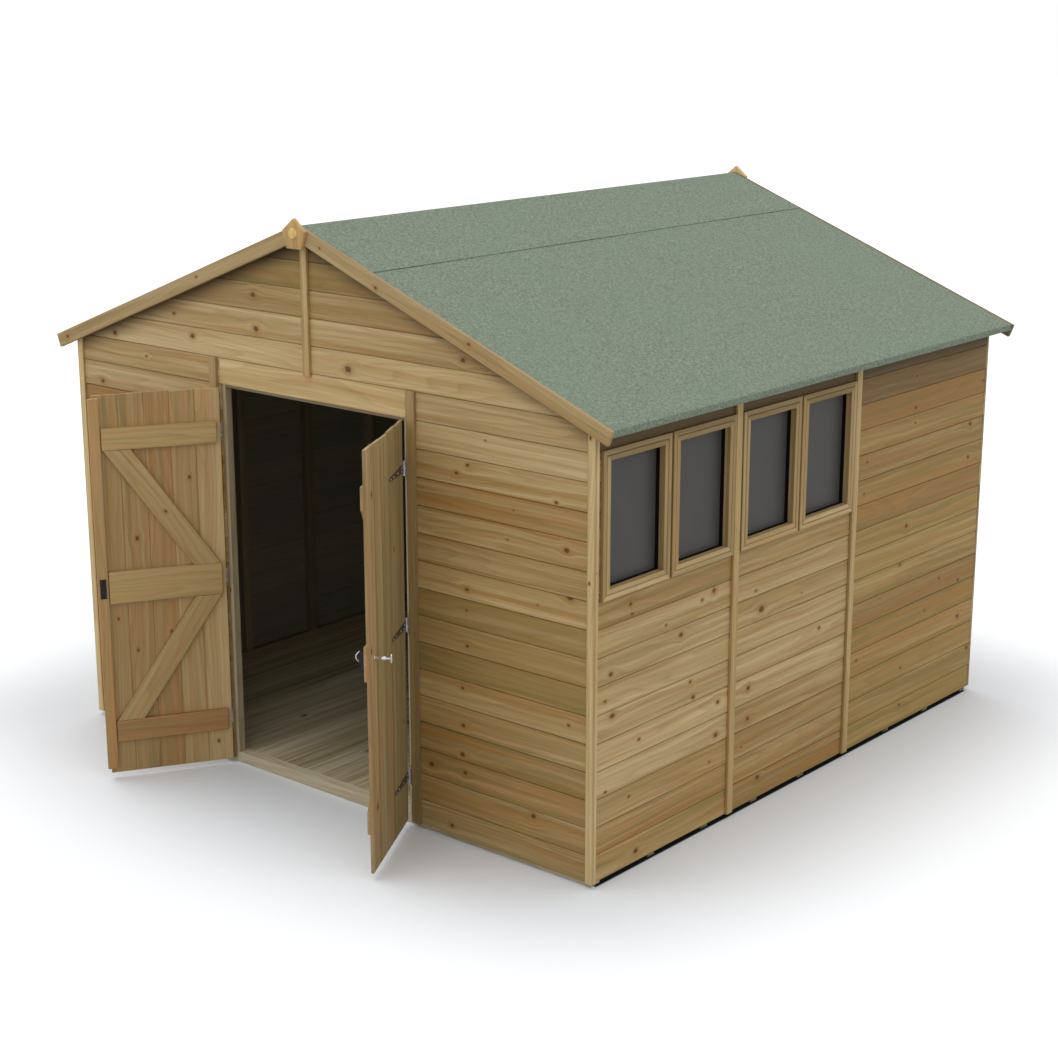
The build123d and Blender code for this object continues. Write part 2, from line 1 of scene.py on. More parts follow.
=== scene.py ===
import json
import math
import bmesh
import bpy
import numpy as np
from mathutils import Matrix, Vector


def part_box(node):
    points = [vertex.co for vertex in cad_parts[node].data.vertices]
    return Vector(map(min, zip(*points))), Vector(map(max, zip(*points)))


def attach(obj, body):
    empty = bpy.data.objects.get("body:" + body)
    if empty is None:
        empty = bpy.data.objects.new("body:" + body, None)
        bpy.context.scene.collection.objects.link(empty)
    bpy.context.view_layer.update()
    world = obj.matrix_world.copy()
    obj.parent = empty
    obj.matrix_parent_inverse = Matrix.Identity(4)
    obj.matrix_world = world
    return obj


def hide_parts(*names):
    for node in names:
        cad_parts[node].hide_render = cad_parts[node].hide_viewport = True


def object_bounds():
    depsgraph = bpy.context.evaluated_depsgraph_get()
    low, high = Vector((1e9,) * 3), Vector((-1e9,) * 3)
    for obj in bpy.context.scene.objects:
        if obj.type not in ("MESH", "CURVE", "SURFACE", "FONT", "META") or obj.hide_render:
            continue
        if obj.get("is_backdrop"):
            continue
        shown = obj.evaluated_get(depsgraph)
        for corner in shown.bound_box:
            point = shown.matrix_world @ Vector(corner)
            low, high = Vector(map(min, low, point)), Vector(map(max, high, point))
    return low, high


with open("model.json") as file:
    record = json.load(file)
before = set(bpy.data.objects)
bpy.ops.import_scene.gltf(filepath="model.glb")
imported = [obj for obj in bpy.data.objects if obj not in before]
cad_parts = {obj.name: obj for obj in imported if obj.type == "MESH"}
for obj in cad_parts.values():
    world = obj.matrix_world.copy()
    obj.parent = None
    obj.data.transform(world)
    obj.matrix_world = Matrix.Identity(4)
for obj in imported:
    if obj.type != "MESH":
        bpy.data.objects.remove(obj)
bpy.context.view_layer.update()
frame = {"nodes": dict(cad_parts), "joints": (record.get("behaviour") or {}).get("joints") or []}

print("frame loaded:", len(frame["nodes"]), "nodes")


def linear(red, green, blue):
    # a colour written as 0-255 on the screen, as linear light
    c = np.array((red, green, blue)) / 255
    c = np.where(c <= 0.04045, c / 12.92, ((c + 0.055) / 1.055) ** 2.4)
    return (*c.tolist(), 1.0)


# ways to lay out shader nodes, in the tree that was begun last
bench = {}


def begin(tree):
    bench["tree"] = tree
    return tree


def link(source, target):
    bench["tree"].links.new(source, target)


def put(kind, links=None, **settings):
    node = bench["tree"].nodes.new(kind)
    for key, value in settings.items():
        setattr(node, key, value)
    for key, value in (links or {}).items():
        if isinstance(value, bpy.types.NodeSocket):
            link(value, node.inputs[key])
        else:
            node.inputs[key].default_value = value
    return node


def maths(how, first, second=0.5, third=0.0, clamp=False):
    return put("ShaderNodeMath", {0: first, 1: second, 2: third}, operation=how, use_clamp=clamp).outputs[0]


def plus(first, second):
    return maths("ADD", first, second)


def minus(first, second):
    return maths("SUBTRACT", first, second)


def times(first, second):
    return maths("MULTIPLY", first, second)


def scaled(value, factor, added, clamp=False):
    # value * factor + added
    return maths("MULTIPLY_ADD", value, factor, added, clamp)


def greatest(first, *others):
    for other in others:
        first = maths("MAXIMUM", first, other)
    return first


def beyond(value, distance):
    # how far the value's size is past a distance
    return minus(maths("ABSOLUTE", value), distance)


def between(value, low, high, start=0.0, end=1.0):
    links = {"Value": value, "From Min": low, "From Max": high, "To Min": start, "To Max": end}
    return put("ShaderNodeMapRange", links, interpolation_type="SMOOTHSTEP").outputs[0]


def blend(factor, first, second, how="MIX"):
    return put("ShaderNodeMix", {0: factor, 6: first, 7: second}, data_type="RGBA", blend_type=how).outputs[2]


def noise(vector, scale, detail=2.0, roughness=0.5):
    links = {"Vector": vector, "Scale": scale, "Detail": detail, "Roughness": roughness}
    return put("ShaderNodeTexNoise", links).outputs[0]


def cells(vector, scale):
    # a random value for each cell
    return parted(put("ShaderNodeTexVoronoi", {"Vector": vector, "Scale": scale}).outputs["Color"])[0]


def stretched(vector, x, y, z):
    return put("ShaderNodeVectorMath", {0: vector, 1: (x, y, z)}, operation="MULTIPLY").outputs[0]


def joined(x, y, z):
    return put("ShaderNodeCombineXYZ", {0: x, 1: y, 2: z}).outputs[0]


def parted(vector):
    return put("ShaderNodeSeparateXYZ", {0: vector}).outputs


def inObject():
    return put("ShaderNodeTexCoord").outputs["Object"]


def attribute(name):
    return put("ShaderNodeAttribute", attribute_name=name).outputs["Vector"]


def wire(sockets, values):
    for label, value in values.items():
        link(value, sockets[label])


def bumped(shader, height, strength, distance):
    bump = put("ShaderNodeBump", {"Height": height, "Strength": strength, "Distance": distance})
    link(bump.outputs[0], shader.inputs["Normal"])


def newGroup(name, given, made):
    tree = begin(bpy.data.node_groups.new(name, "ShaderNodeTree"))
    for label, kind, value in given:
        socket = tree.interface.new_socket(name=label, in_out="INPUT", socket_type="NodeSocket" + kind)
        socket.default_value = value
    for label, kind in made:
        tree.interface.new_socket(name=label, in_out="OUTPUT", socket_type="NodeSocket" + kind)
    return tree, tree.nodes.new("NodeGroupInput").outputs, tree.nodes.new("NodeGroupOutput").inputs


def newMaterial(name, **fixed):
    material = bpy.data.materials.new(name)
    material.use_nodes = True
    shader = begin(material.node_tree).nodes["Principled BSDF"]
    for label, value in fixed.items():
        shader.inputs[label.replace("_", " ")].default_value = value
    return material, shader


# one knot: (along, across, radius) in the board's own space; the grain flows round it
def makeKnotGroup():
    given = [("Place", "Vector", (0, 0, 0)), ("Knot", "Vector", (0, 0, 0))]
    made = [("Place", "Vector"), ("Core", "Float"), ("Halo", "Float")]
    tree, have, give = newGroup("knotInBoard", given, made)
    at = parted(have["Place"])
    knot = parted(have["Knot"])
    du = minus(at[0], knot[0])
    dv = minus(at[1], knot[1])
    wobble = scaled(noise(have["Place"], 90.0, 1.0), 0.7, 0.65)
    # sqrt((0.72 * along)^2 + across^2), as a share of the knot's radius
    alongPart = maths("POWER", times(du, 0.72), 2.0)
    apart = maths("SQRT", plus(alongPart, maths("POWER", dv, 2.0)))
    share = maths("DIVIDE", times(apart, wobble), greatest(knot[2], 0.00001))
    squeeze = times(between(share, 5.5, 0.4), 0.8)
    bent = minus(at[1], times(dv, squeeze))
    wire(give, {
        "Place": joined(at[0], bent, at[2]),
        "Core": between(share, 1.05, 0.7),
        "Halo": between(share, 2.6, 0.8),
    })
    return tree


# sawn softwood from attributes that each board carries: grainSpace, boardTone, boardSize and three knots
def makeGrainGroup(knotGroup):
    given = [
        ("Pale", "Color", linear(211, 185, 137)),
        ("Honey", "Color", linear(173, 142, 86)),
        ("Amber", "Color", linear(173, 123, 59)),
        ("Olive", "Color", linear(138, 121, 67)),
        ("Late", "Color", linear(122, 90, 46)),
        ("Halo", "Color", linear(168, 116, 60)),
        ("Knot", "Color", linear(96, 58, 16)),
        ("Streak Strength", "Float", 1.0),
        ("Ring Strength", "Float", 0.24),
        ("Fibre Strength", "Float", 0.42),
        ("Edge Dirt", "Float", 0.25),
        ("Base Roughness", "Float", 0.6),
        # painted shade for the inward side of the wall boards
        ("Inner Side", "Color", linear(122, 125, 119)),
    ]
    made = [("Colour", "Color"), ("Roughness", "Float"), ("Height", "Float")]
    tree, have, give = newGroup("boardGrain", given, made)
    flat = attribute("grainSpace")
    place = flat
    cores, halos = [], []
    for letter in "ABC":
        links = {"Place": place, "Knot": attribute("knot" + letter)}
        found = put("ShaderNodeGroup", links, node_tree=knotGroup)
        place = found.outputs["Place"]
        cores.append(found.outputs["Core"])
        halos.append(found.outputs["Halo"])
    core = greatest(*cores)
    halo = greatest(*halos)
    light, amber, pale = parted(attribute("boardTone"))
    _, halfWidth, innerSide = parted(attribute("boardSize"))

    # slow wander of the grain, then growth rings as the contour lines of a stretched noise
    at = parted(place)
    wander = scaled(noise(stretched(place, 1.3, 5, 5), 1.0, 2.0), 0.05, -0.025)
    across = plus(at[1], wander)
    bent = joined(at[0], across, at[2])
    field = noise(stretched(bent, 0.55, 8, 8), 1.0, 1.0)
    rise = maths("FRACT", plus(times(field, 13.0), times(across, 30.0)))
    ring = times(maths("POWER", rise, 2.0), between(rise, 1.0, 0.9))
    streak = noise(stretched(bent, 0.7, 48, 30), 1.0, 3.0, 0.6)
    fibre = noise(stretched(bent, 7, 340, 340), 1.0, 2.0, 0.6)
    blotch = noise(stretched(bent, 0.6, 36, 9), 1.0, 2.0)
    sap = noise(stretched(bent, 0.35, 11, 3), 1.0, 1.0)
    fleck = noise(stretched(bent, 0.7, 30, 7), 1.0, 2.0)

    # streaks along the board: pale on honey, then amber, then olive where the board leans that way
    broad = scaled(between(sap, 0.4, 0.6), 0.4, -0.2)
    paleness = plus(times(between(streak, 0.36, 0.64), 0.5), broad)
    paleness = scaled(minus(paleness, 0.2), have["Streak Strength"], 0.2)
    paleness = scaled(pale, 0.6, paleness, clamp=True)
    colour = blend(paleness, have["Honey"], have["Pale"])
    blotches = scaled(between(blotch, 0.46, 0.66), 0.6, -0.12)
    amberness = scaled(amber, 0.7, times(blotches, have["Streak Strength"]), clamp=True)
    colour = blend(times(amberness, 0.8), colour, have["Amber"])
    flecks = times(between(fleck, 0.5, 0.64), 0.5)
    colour = blend(scaled(pale, -0.7, flecks, clamp=True), colour, have["Olive"])
    colour = blend(times(ring, have["Ring Strength"]), colour, have["Late"])
    bright = times(scaled(minus(fibre, 0.5), have["Fibre Strength"], 1.0), light)
    colour = put("ShaderNodeVectorMath", {0: colour, "Scale": bright}, operation="SCALE").outputs[0]
    colour = blend(times(halo, 0.6), colour, have["Halo"])
    colour = blend(times(core, 0.85), colour, have["Knot"])
    # dirt in the last 5 mm before each edge, and painted shade on the side towards the inside of the
    # building, which turns darker and greyer
    rim = minus(halfWidth, maths("ABSOLUTE", parted(flat)[1]))
    dirt = times(between(rim, 0.005, 0.0), have["Edge Dirt"])
    colour = blend(dirt, colour, have["Late"], "MULTIPLY")
    colour = blend(times(innerSide, 0.8), colour, have["Inner Side"])
    lift = plus(times(fibre, 0.6), times(ring, 0.35))
    wire(give, {
        "Colour": colour,
        "Roughness": plus(have["Base Roughness"], scaled(fibre, 0.2, -0.1)),
        "Height": minus(lift, times(core, 0.3)),
    })
    return tree


# what each wood changes in the grain group; colours as 0-255
woodLooks = {
    "claddingWood": {},
    "trimWood": {
        "Pale": (225, 200, 149), "Honey": (202, 172, 116), "Amber": (196, 150, 86), "Olive": (158, 140, 92),
        "Ring Strength": 0.2,
    },
    "doorWood": {
        "Pale": (224, 196, 146), "Honey": (196, 164, 110), "Amber": (200, 144, 84), "Olive": (164, 144, 92),
        "Edge Dirt": 0.18, "Streak Strength": 0.85,
    },
    "doorFace": {
        "Pale": (222, 205, 162), "Honey": (192, 171, 123), "Amber": (204, 151, 92), "Olive": (154, 141, 98),
        "Edge Dirt": 0.4, "Fibre Strength": 0.5, "Streak Strength": 1.2,
    },
    "discWood": {"Pale": (244, 214, 134), "Honey": (214, 176, 96), "Ring Strength": 0.5},
    # the frames inside: darker and greyer, as painted shade of the dim inside
    "frameWood": {
        "Pale": (170, 160, 132), "Honey": (150, 138, 110), "Amber": (140, 118, 86), "Olive": (128, 120, 96),
        "Base Roughness": 0.7,
    },
    "floorWood": {
        "Pale": (224, 214, 184), "Honey": (202, 190, 157), "Amber": (184, 154, 112), "Base Roughness": 0.7,
    },
    "roofBoard": {"Pale": (160, 136, 96), "Honey": (140, 113, 74), "Base Roughness": 0.75},
}


# painted shade under the roof: boards close under it are darkened; depth below the slope = ridge - |x|*slope
# - z
def makePaintedEavesShade():
    given = [
        ("Colour", "Color", (1, 1, 1, 1)), ("Shade", "Color", linear(128, 118, 98)), ("Depth", "Float", 0.14),
    ]
    tree, have, give = newGroup("underEaves", given, [("Colour", "Color")])
    here = parted(inObject())
    line = scaled(maths("ABSOLUTE", here[0]), -0.3847, 2.417)
    amount = between(minus(line, here[2]), have["Depth"], 0.01)
    wire(give, {"Colour": blend(amount, have["Colour"], have["Shade"], "MULTIPLY")})
    return tree


knotInBoard = makeKnotGroup()
boardGrain = makeGrainGroup(knotInBoard)
underEaves = makePaintedEavesShade()
materials = {}
for name, look in woodLooks.items():
    material, shader = newMaterial(name, IOR=1.45)
    grain = put("ShaderNodeGroup", node_tree=boardGrain)
    for label, value in look.items():
        grain.inputs[label].default_value = linear(*value) if isinstance(value, tuple) else value
    colour = grain.outputs["Colour"]
    # painted shade under the roof, on the cladding only
    if name == "claddingWood":
        shade = put("ShaderNodeGroup", {"Colour": colour}, node_tree=underEaves)
        colour = shade.outputs["Colour"]
    wire(shader.inputs, {"Base Color": colour, "Roughness": grain.outputs["Roughness"]})
    bumped(shader, grain.outputs["Height"], 0.35, 0.0012)
    materials[name] = material


def makeFelt():
    # roofing felt: mineral grit on a bitumen sheet
    material, shader = newMaterial("mineralFelt", Roughness=0.9)
    here = inObject()
    grain = cells(here, 420.0)
    fleck = noise(here, 95.0, 3.0, 0.75)
    patch = noise(here, 2.2, 3.0)
    colour = blend(between(fleck, 0.36, 0.64), linear(98, 115, 97), linear(146, 155, 136))
    for value, low, high, strength, tint in (
        (grain, 0.55, 1.0, 0.45, (168, 176, 156)), (grain, 0.3, 0.0, 0.5, (70, 88, 74)),
        (patch, 0.4, 0.7, 0.25, (120, 142, 124)),
    ):
        colour = blend(times(between(value, low, high), strength), colour, linear(*tint))
    wire(shader.inputs, {"Base Color": colour})
    bumped(shader, plus(times(grain, 0.5), fleck), 0.5, 0.0015)
    return material


def makeMetal(name, dark, light, smooth, rough, metallic, scale=60.0):
    # spangles in a smear, from a dark to a light colour; smooth and rough are the ends of its roughness
    material, shader = newMaterial(name, Metallic=metallic)
    here = inObject()
    spangle = cells(here, scale * 4)
    smear = noise(here, scale, 4.0, 0.65)
    mixed = scaled(spangle, 0.35, times(smear, 0.65))
    wire(shader.inputs, {
        "Base Color": blend(between(mixed, 0.3, 0.7), linear(*dark), linear(*light)),
        "Roughness": between(smear, 0.3, 0.7, smooth, rough),
    })
    bumped(shader, smear, 0.15, 0.0005)
    return material


def makeGlass():
    # clear pane with faint dust
    material, shader = newMaterial("windowPane", Transmission_Weight=0.4, IOR=1.45)
    dust = noise(stretched(inObject(), 1, 1, 0.6), 14.0, 4.0, 0.6)
    wire(shader.inputs, {
        "Base Color": blend(dust, linear(94, 93, 92), linear(108, 107, 105)),
        "Roughness": between(dust, 0.3, 0.8, 0.34, 0.42),
    })
    return material


def makeSealAndRevealShade():
    # near black, as painted shade in the window's reveal
    material, shader = newMaterial("glazingSeal", Specular_IOR_Level=0.1)
    speck = noise(inObject(), 180.0, 3.0)
    wire(shader.inputs, {
        "Base Color": blend(speck, linear(10, 9, 9), linear(24, 22, 20)),
        "Roughness": between(speck, 0.3, 0.7, 0.75, 0.95),
    })
    return material


for name, *look in (
    ("galvanisedSteel", (186, 185, 196), (242, 240, 250), 0.25, 0.4, 0.45),
    # a darker copy of the galvanised steel, as painted shade on the hinge straps
    ("strapSteel", (86, 78, 62), (112, 102, 82), 0.5, 0.7, 0.3),
    ("blackSteel", (30, 28, 28), (56, 52, 50), 0.4, 0.6, 0.4),
    ("polishedPlate", (225, 226, 230), (250, 250, 250), 0.1, 0.22, 1.0),
    ("pinHeads", (84, 74, 62), (140, 128, 112), 0.4, 0.65, 0.8),
):
    materials[name] = makeMetal(name, *look)
materials.update({"mineralFelt": makeFelt(), "glazingSeal": makeSealAndRevealShade(), "windowPane": makeGlass()})
print("materials ready")


# door leaves are worked out shut and swung to where they rest
doors = {}
for joint in frame["joints"]:
    side = "left" if joint["child"].startswith("left") else "right"
    low, high = joint["range_deg"]
    doors[side] = {"pin": np.array(joint["pos_m"]), "shut": math.radians(high if side == "left" else low)}


def swung(points, side, way=-1):
    # about the pin: to where the leaf rests, or shut with way 1
    angle, pin = way * doors[side]["shut"], doors[side]["pin"]
    c, s = math.cos(angle), math.sin(angle)
    turn = np.array([[c, -s, 0], [s, c, 0], [0, 0, 1]])
    return (np.asarray(points) - pin) @ turn.T + pin


# the CAD solids, as places to build on; those of a door leaf are given shut where its side is named
def solidsOf(node, side=None):
    mesh = frame["nodes"][node].data
    co = np.zeros(len(mesh.vertices) * 3)
    mesh.vertices.foreach_get("co", co)
    mesh.calc_loop_triangles()
    tri = np.zeros(len(mesh.loop_triangles) * 3, int)
    mesh.loop_triangles.foreach_get("vertices", tri)
    points, back = np.unique(np.round(co.reshape(-1, 3), 5), axis=0, return_inverse=True)
    tri = back.reshape(-1)[tri].reshape(-1, 3)
    label = np.arange(len(points))
    while True:
        least = label[tri].min(1)
        after = label.copy()
        for k in range(3):
            np.minimum.at(after, tri[:, k], least)
        if (after == label).all():
            break
        label = after
    found = []
    for mark in np.unique(label[tri[:, 0]]):
        own = tri[label[tri[:, 0]] == mark]
        used, slim = np.unique(own, return_inverse=True)
        found.append((swung(points[used], side, 1) if side else points[used], slim.reshape(-1, 3)))
    return found


def boxesOf(node, side=None):
    boxes = [(points.min(0), points.max(0)) for points, _ in solidsOf(node, side)]
    return sorted(boxes, key=lambda b: [round(float(x), 3) for x in b[0]])


def boxOf(node):
    low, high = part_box(node)
    return np.array(low), np.array(high)


# light, amber, and pale (or olive below nought)
tones = {
    "w": (1.2, 0.1, 0.7),
    "p": (1.08, 0.05, 0.8),
    "y": (1.03, 0.15, 0.45),
    "h": (1.0, 0.3, 0.1),
    "a": (0.97, 0.75, 0.0),
    "c": (1.08, 0.7, 0.0),
    "o": (0.97, 0.2, -0.32),
    "b": (0.88, 0.6, -0.5),
    "g": (0.96, -0.1, -0.3),
    # the plain bay of the windowed wall
    "s": (0.99, 0.65, -0.3),
    "t": (1.13, 0.45, -0.3),
    "v": (1.21, 0.3, -0.3),
    "u": (0.97, 1.1, -0.2),
    "x": (1.12, 1.1, -0.25),
    # in the shade under the eaves
    "q": (0.42, 0.3, -0.2),
    "d": (0.62, 0.45, -0.3),
    "k": (0.62, 0.8, -0.3),
    "z": (0.5, 0.1, -0.2),    # floor bearers
    "e": (1.2, 0.1, 1.0),    # discs of the finials, bright end grain
    "f": (1.06, 0.9, 0.0),    # plate of the front finial
}
noKnot = (-9.0, 0.0, 0.0)    # far off the board


def unit(vector):
    vector = np.asarray(vector, float)
    return vector / np.linalg.norm(vector)


def rounded(width, thick, arris):
    # rectangle (v, w) whose corners are eased by two short cuts each
    a, b, s = width / 2, thick / 2, arris
    c = s * 0.3
    return np.array([
        (a - s, -b), (a - c, -b + c), (a, -b + s), (a, b - s), (a - c, b - c), (a - s, b),
        (-a + s, b), (-a + c, b - c), (-a, b - s), (-a, -b + s), (-a + c, -b + c), (-a + s, -b),
    ])


def tubeFaces(rows, count, flipped=False):
    # quads between rings of points that follow each other, and a cap at each end
    i, j = np.meshgrid(np.arange(rows - 1), np.arange(count), indexing="ij")
    near, far = i * count + j, i * count + (j + 1) % count
    quads = np.stack([near, far, far + count, near + count], -1).reshape(-1, 4)
    first, last = list(range(count)), list(range((rows - 1) * count, rows * count))
    if flipped:
        return quads[:, [0, 3, 2, 1]].tolist() + [first, last[::-1]]
    return quads.tolist() + [first[::-1], last]


def board(start, along, across, length, outline, cuts=(0.0, 0.0), tone="h", knots=(), seed=0, wave=0.0,
          stations=1, arris=0.0012, innerSide=False):
    # outline (v, w) carried along u: point = start + u*along + v*across + w*out; each end leans by cut*v
    # and is drawn in by the arris, and between the ends the board bows by wave*sin
    along, across = unit(along), unit(across)
    out = np.cross(along, across)
    rim = np.asarray(outline, float)
    low, high = rim.min(0), rim.max(0)
    middle = (low + high) / 2
    drawn = middle + (rim - middle) * (1 - 2 * arris / (high - low))
    steps = np.linspace(0, 1, stations + 1)
    u = np.concatenate([[0], arris + steps * (length - 2 * arris), [length]])
    rings = np.stack([drawn] + [rim] * (stations + 1) + [drawn])
    chance = np.random.default_rng(seed + 1)
    phase, offset = chance.uniform(0, 6.28, 2), chance.uniform(0, 60, 2)
    share = (u / length)[:, None]
    v, w = rings[..., 0], rings[..., 1]
    sway = wave * np.sin(share * 7.3 + phase[0]) * np.sin(share * math.pi)
    lean = v * (cuts[0] * (1 - share) + cuts[1] * share)
    flat = np.stack([u[:, None] + lean, v + sway, w + 0 * u[:, None]], -1).reshape(-1, 3)
    points = np.asarray(start, float) + flat[:, :1] * along + flat[:, 1:2] * across + flat[:, 2:] * out
    tone = tones[tone] if isinstance(tone, str) else tone
    jitter = chance.normal(0, 1, 3) * (0.025, 0.2, 0.15)
    marks = [(k[0] + offset[0], k[1], k[2]) for k in list(knots)[:3]]
    return {
        "points": points,
        "faces": tubeFaces(len(u), len(rim), True),
        "grain": flat + np.array([offset[0], 0, offset[1]]),
        "tone": tone * (1 + jitter),
        "size": (length, float(min(high[0], -low[0])), 0.0),
        "knots": marks + [noKnot] * (3 - len(marks)),
        "inner": np.tile(rim[:, 1] < low[1] + 0.0001, len(u)) * (1.0 if innerSide else 0.0),
    }


def shaped(solid, along, tone="h", seed=0, ease=0.0015, segments=2):
    # a CAD solid's copy with eased edges, and grain along the given way
    points, triangles = solid
    shape = bmesh.new()
    corners = [shape.verts.new(p) for p in points]
    for t in triangles:
        shape.faces.new([corners[k] for k in t])
    shape.normal_update()
    bmesh.ops.dissolve_limit(shape, angle_limit=0.02, verts=shape.verts, edges=shape.edges)
    sharp = [e for e in shape.edges if len(e.link_faces) == 2 and e.calc_face_angle() > 0.6]
    bmesh.ops.bevel(
        shape, geom=sharp, offset=ease, offset_type="OFFSET", segments=segments, profile=0.5, affect="EDGES",
        clamp_overlap=True,
    )
    shape.verts.index_update()
    made = np.array([v.co for v in shape.verts])
    faces = [[v.index for v in f.verts] for f in shape.faces]
    shape.free()
    along = unit(along)
    across = np.array((1.0, 0, 0))
    if abs(along[2]) < 0.9:
        across = unit(np.cross(along, unit(np.cross((0, 0, 1), along))))
    local = (made - (made.min(0) + made.max(0)) / 2) @ np.stack([along, across, np.cross(along, across)]).T
    offset = np.random.default_rng(seed + 1).uniform(0, 60, 2)
    return {
        "points": made,
        "faces": faces,
        "grain": local + np.array([offset[0], 0, offset[1]]),
        "tone": tones[tone] if isinstance(tone, str) else tone,
        "size": (float(np.ptp(local[:, 0])), float(np.ptp(local[:, 1])) / 2, 0.0),
        "knots": [noKnot] * 3,
        "inner": np.zeros(len(made)),
    }


def shapedAll(solids, way, codes, seed, ease=0.0015, segments=2):
    return [shaped(s, way, codes[k % len(codes)], seed + k, ease, segments) for k, s in enumerate(solids)]


def piece(name, parts, look, *nodes, body="shed", smooth=None, side=None):
    # joins the parts in one mesh, with what each board tells its material; side swings them from shut to rest
    counts = [len(p["points"]) for p in parts]
    firsts = np.cumsum([0] + counts)
    points = np.concatenate([p["points"] for p in parts])
    if side:
        points = swung(points, side)
    faces = []
    for first, part in zip(firsts, parts):
        first = int(first)
        faces += [[first + k for k in f] for f in part["faces"]]
    mesh = bpy.data.meshes.new(name)
    mesh.from_pydata(points.tolist(), [], faces)
    if "grain" in parts[0]:
        repeat = lambda rows: np.repeat(np.array(rows, float), counts, axis=0)
        fields = {
            "grainSpace": np.concatenate([p["grain"] for p in parts]),
            "boardTone": repeat([p["tone"] for p in parts]),
            "boardSize": repeat([p["size"] for p in parts]),
        }
        fields["boardSize"][:, 2] = np.concatenate([p["inner"] for p in parts])
        for k, letter in enumerate("ABC"):
            fields["knot" + letter] = repeat([p["knots"][k] for p in parts])
        for label, values in fields.items():
            store = mesh.attributes.new(label, "FLOAT_VECTOR", "POINT")
            store.data.foreach_set("vector", np.ascontiguousarray(values, np.float32).ravel())
    if smooth is not None:
        mesh.polygons.foreach_set("use_smooth", np.ones(len(mesh.polygons), bool))
        mesh.set_sharp_from_angle(angle=math.radians(smooth))
    mesh.materials.append(materials[look])
    mesh.update()
    made = bpy.data.objects.new(name, mesh)
    bpy.context.scene.collection.objects.link(made)
    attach(made, body)
    if nodes:
        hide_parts(*nodes)
    return made


# cladding boards
cladding = {
    "pitch": 0.1133,
    "thick": 0.012,
    "first": 0.0197,      # underside of the lowest board
    "least": 0.012,       # a lower strip than this isn't laid
    "fall": 0.0016,       # how far the face leans back towards its top
    "groove": 0.0027,     # height of the shadow gap under the next board
    "grooveDepth": 0.0038,
    "tongue": 0.004,      # thickness of the tongue behind the next board
    "lap": 0.003,         # its height
    "clear": 0.0002,      # what each board keeps from its neighbours
    "wave": 0.0007,
    "knotSize": 1.12,
}
# along and across, for each way that a wall faces
wallWays = {
    "front": ((1, 0, 0), (0, 0, 1)),
    "rear": ((-1, 0, 0), (0, 0, 1)),
    "right": ((0, 1, 0), (0, 0, 1)),
    "left": ((0, -1, 0), (0, 0, 1)),
}


def inMetres(marks):
    return [tuple(v / 1000 for v in mark) for mark in marks]


# knots that show on the front and on the windowed side, as (along the wall, height, radius) in millimetres
frontKnots = inMetres([
    (860, 1080, 6), (857, 995, 4), (860, 847, 6), (832, 667, 6), (835, 510, 7), (830, 385, 9),
    (842, 310, 8), (660, 300, 10), (1360, 1330, 9), (1378, 1150, 10), (810, 1540, 6), (868, 1580, 6),
    (1310, 1505, 6), (1200, 222, 9), (768, 62, 7), (1375, 642, 5), (-317, 2120, 10), (-305, 1980, 11),
    (-825, 1990, 6), (-710, 1905, 10), (-1240, 1862, 9), (230, 1875, 12), (850, 1985, 8), (-1025, 1780, 5),
    (-1340, 1630, 8), (1070, 1320, 3), (1220, 1090, 3), (960, 1690, 3), (1100, 1440, 3),
])
sideKnots = inMetres([
    (225, 1095, 7), (235, 1055, 6), (775, 1020, 9), (695, 1000, 6), (455, 955, 5), (555, 890, 9),
    (107, 845, 8), (75, 745, 5), (120, 675, 9), (625, 675, 6), (645, 605, 8), (290, 530, 6), (820, 535, 8),
    (810, 395, 9), (80, 375, 5), (230, 310, 5), (280, 65, 9), (770, 290, 4), (1075, 950, 5),
    (1120, 860, 13), (1040, 535, 9), (1040, 400, 8), (1130, 110, 9), (1575, 665, 7), (1425, 860, 3),
    (1000, 285, 4), (2317, 1665, 7), (2320, 1520, 8), (2325, 1450, 5), (2845, 1360, 10), (2840, 1200, 8),
    (1920, 1340, 5), (1905, 1200, 5), (2290, 975, 9), (2250, 800, 6), (2810, 600, 8), (2825, 415, 9),
    (2300, 290, 6), (2305, 105, 6), (2940, 225, 9), (2950, 1550, 7), (1900, 430, 5), (2625, 650, 6),
    (2050, 700, 5), (2500, 520, 5),
])


def claddingOutline(height, tongued, rebated):
    # (v, w): a face that leans back, an eased lower edge, a rebate at the top that makes the shadow gap,
    # and at the back a tongue that laps behind the board above
    k = cladding
    half, face, back, clear = height / 2, k["thick"] / 2, -k["thick"] / 2, k["clear"]
    top = face - k["fall"]
    inner = back + k["tongue"]
    foot = [(-half + clear, back)]
    head = [(half - clear, back)]
    if rebated:
        shoulder = -half + k["lap"] + 0.0016
        foot = [(-half + clear, inner + 0.0004), (shoulder, inner + 0.0004), (shoulder, back)]
    if tongued:
        head = [(half + k["lap"], back), (half + k["lap"], inner), (half - clear, inner)]
    return np.array(foot + head + [
        (half - clear, top - k["grooveDepth"]), (half - k["groove"], top - k["grooveDepth"]),
        (half - k["groove"], top - 0.0008), (half - k["groove"] - 0.0008, top),
        (-half + 0.0026, face), (-half + 0.0010, face - 0.0004), (-half + clear, face - 0.0016),
    ])


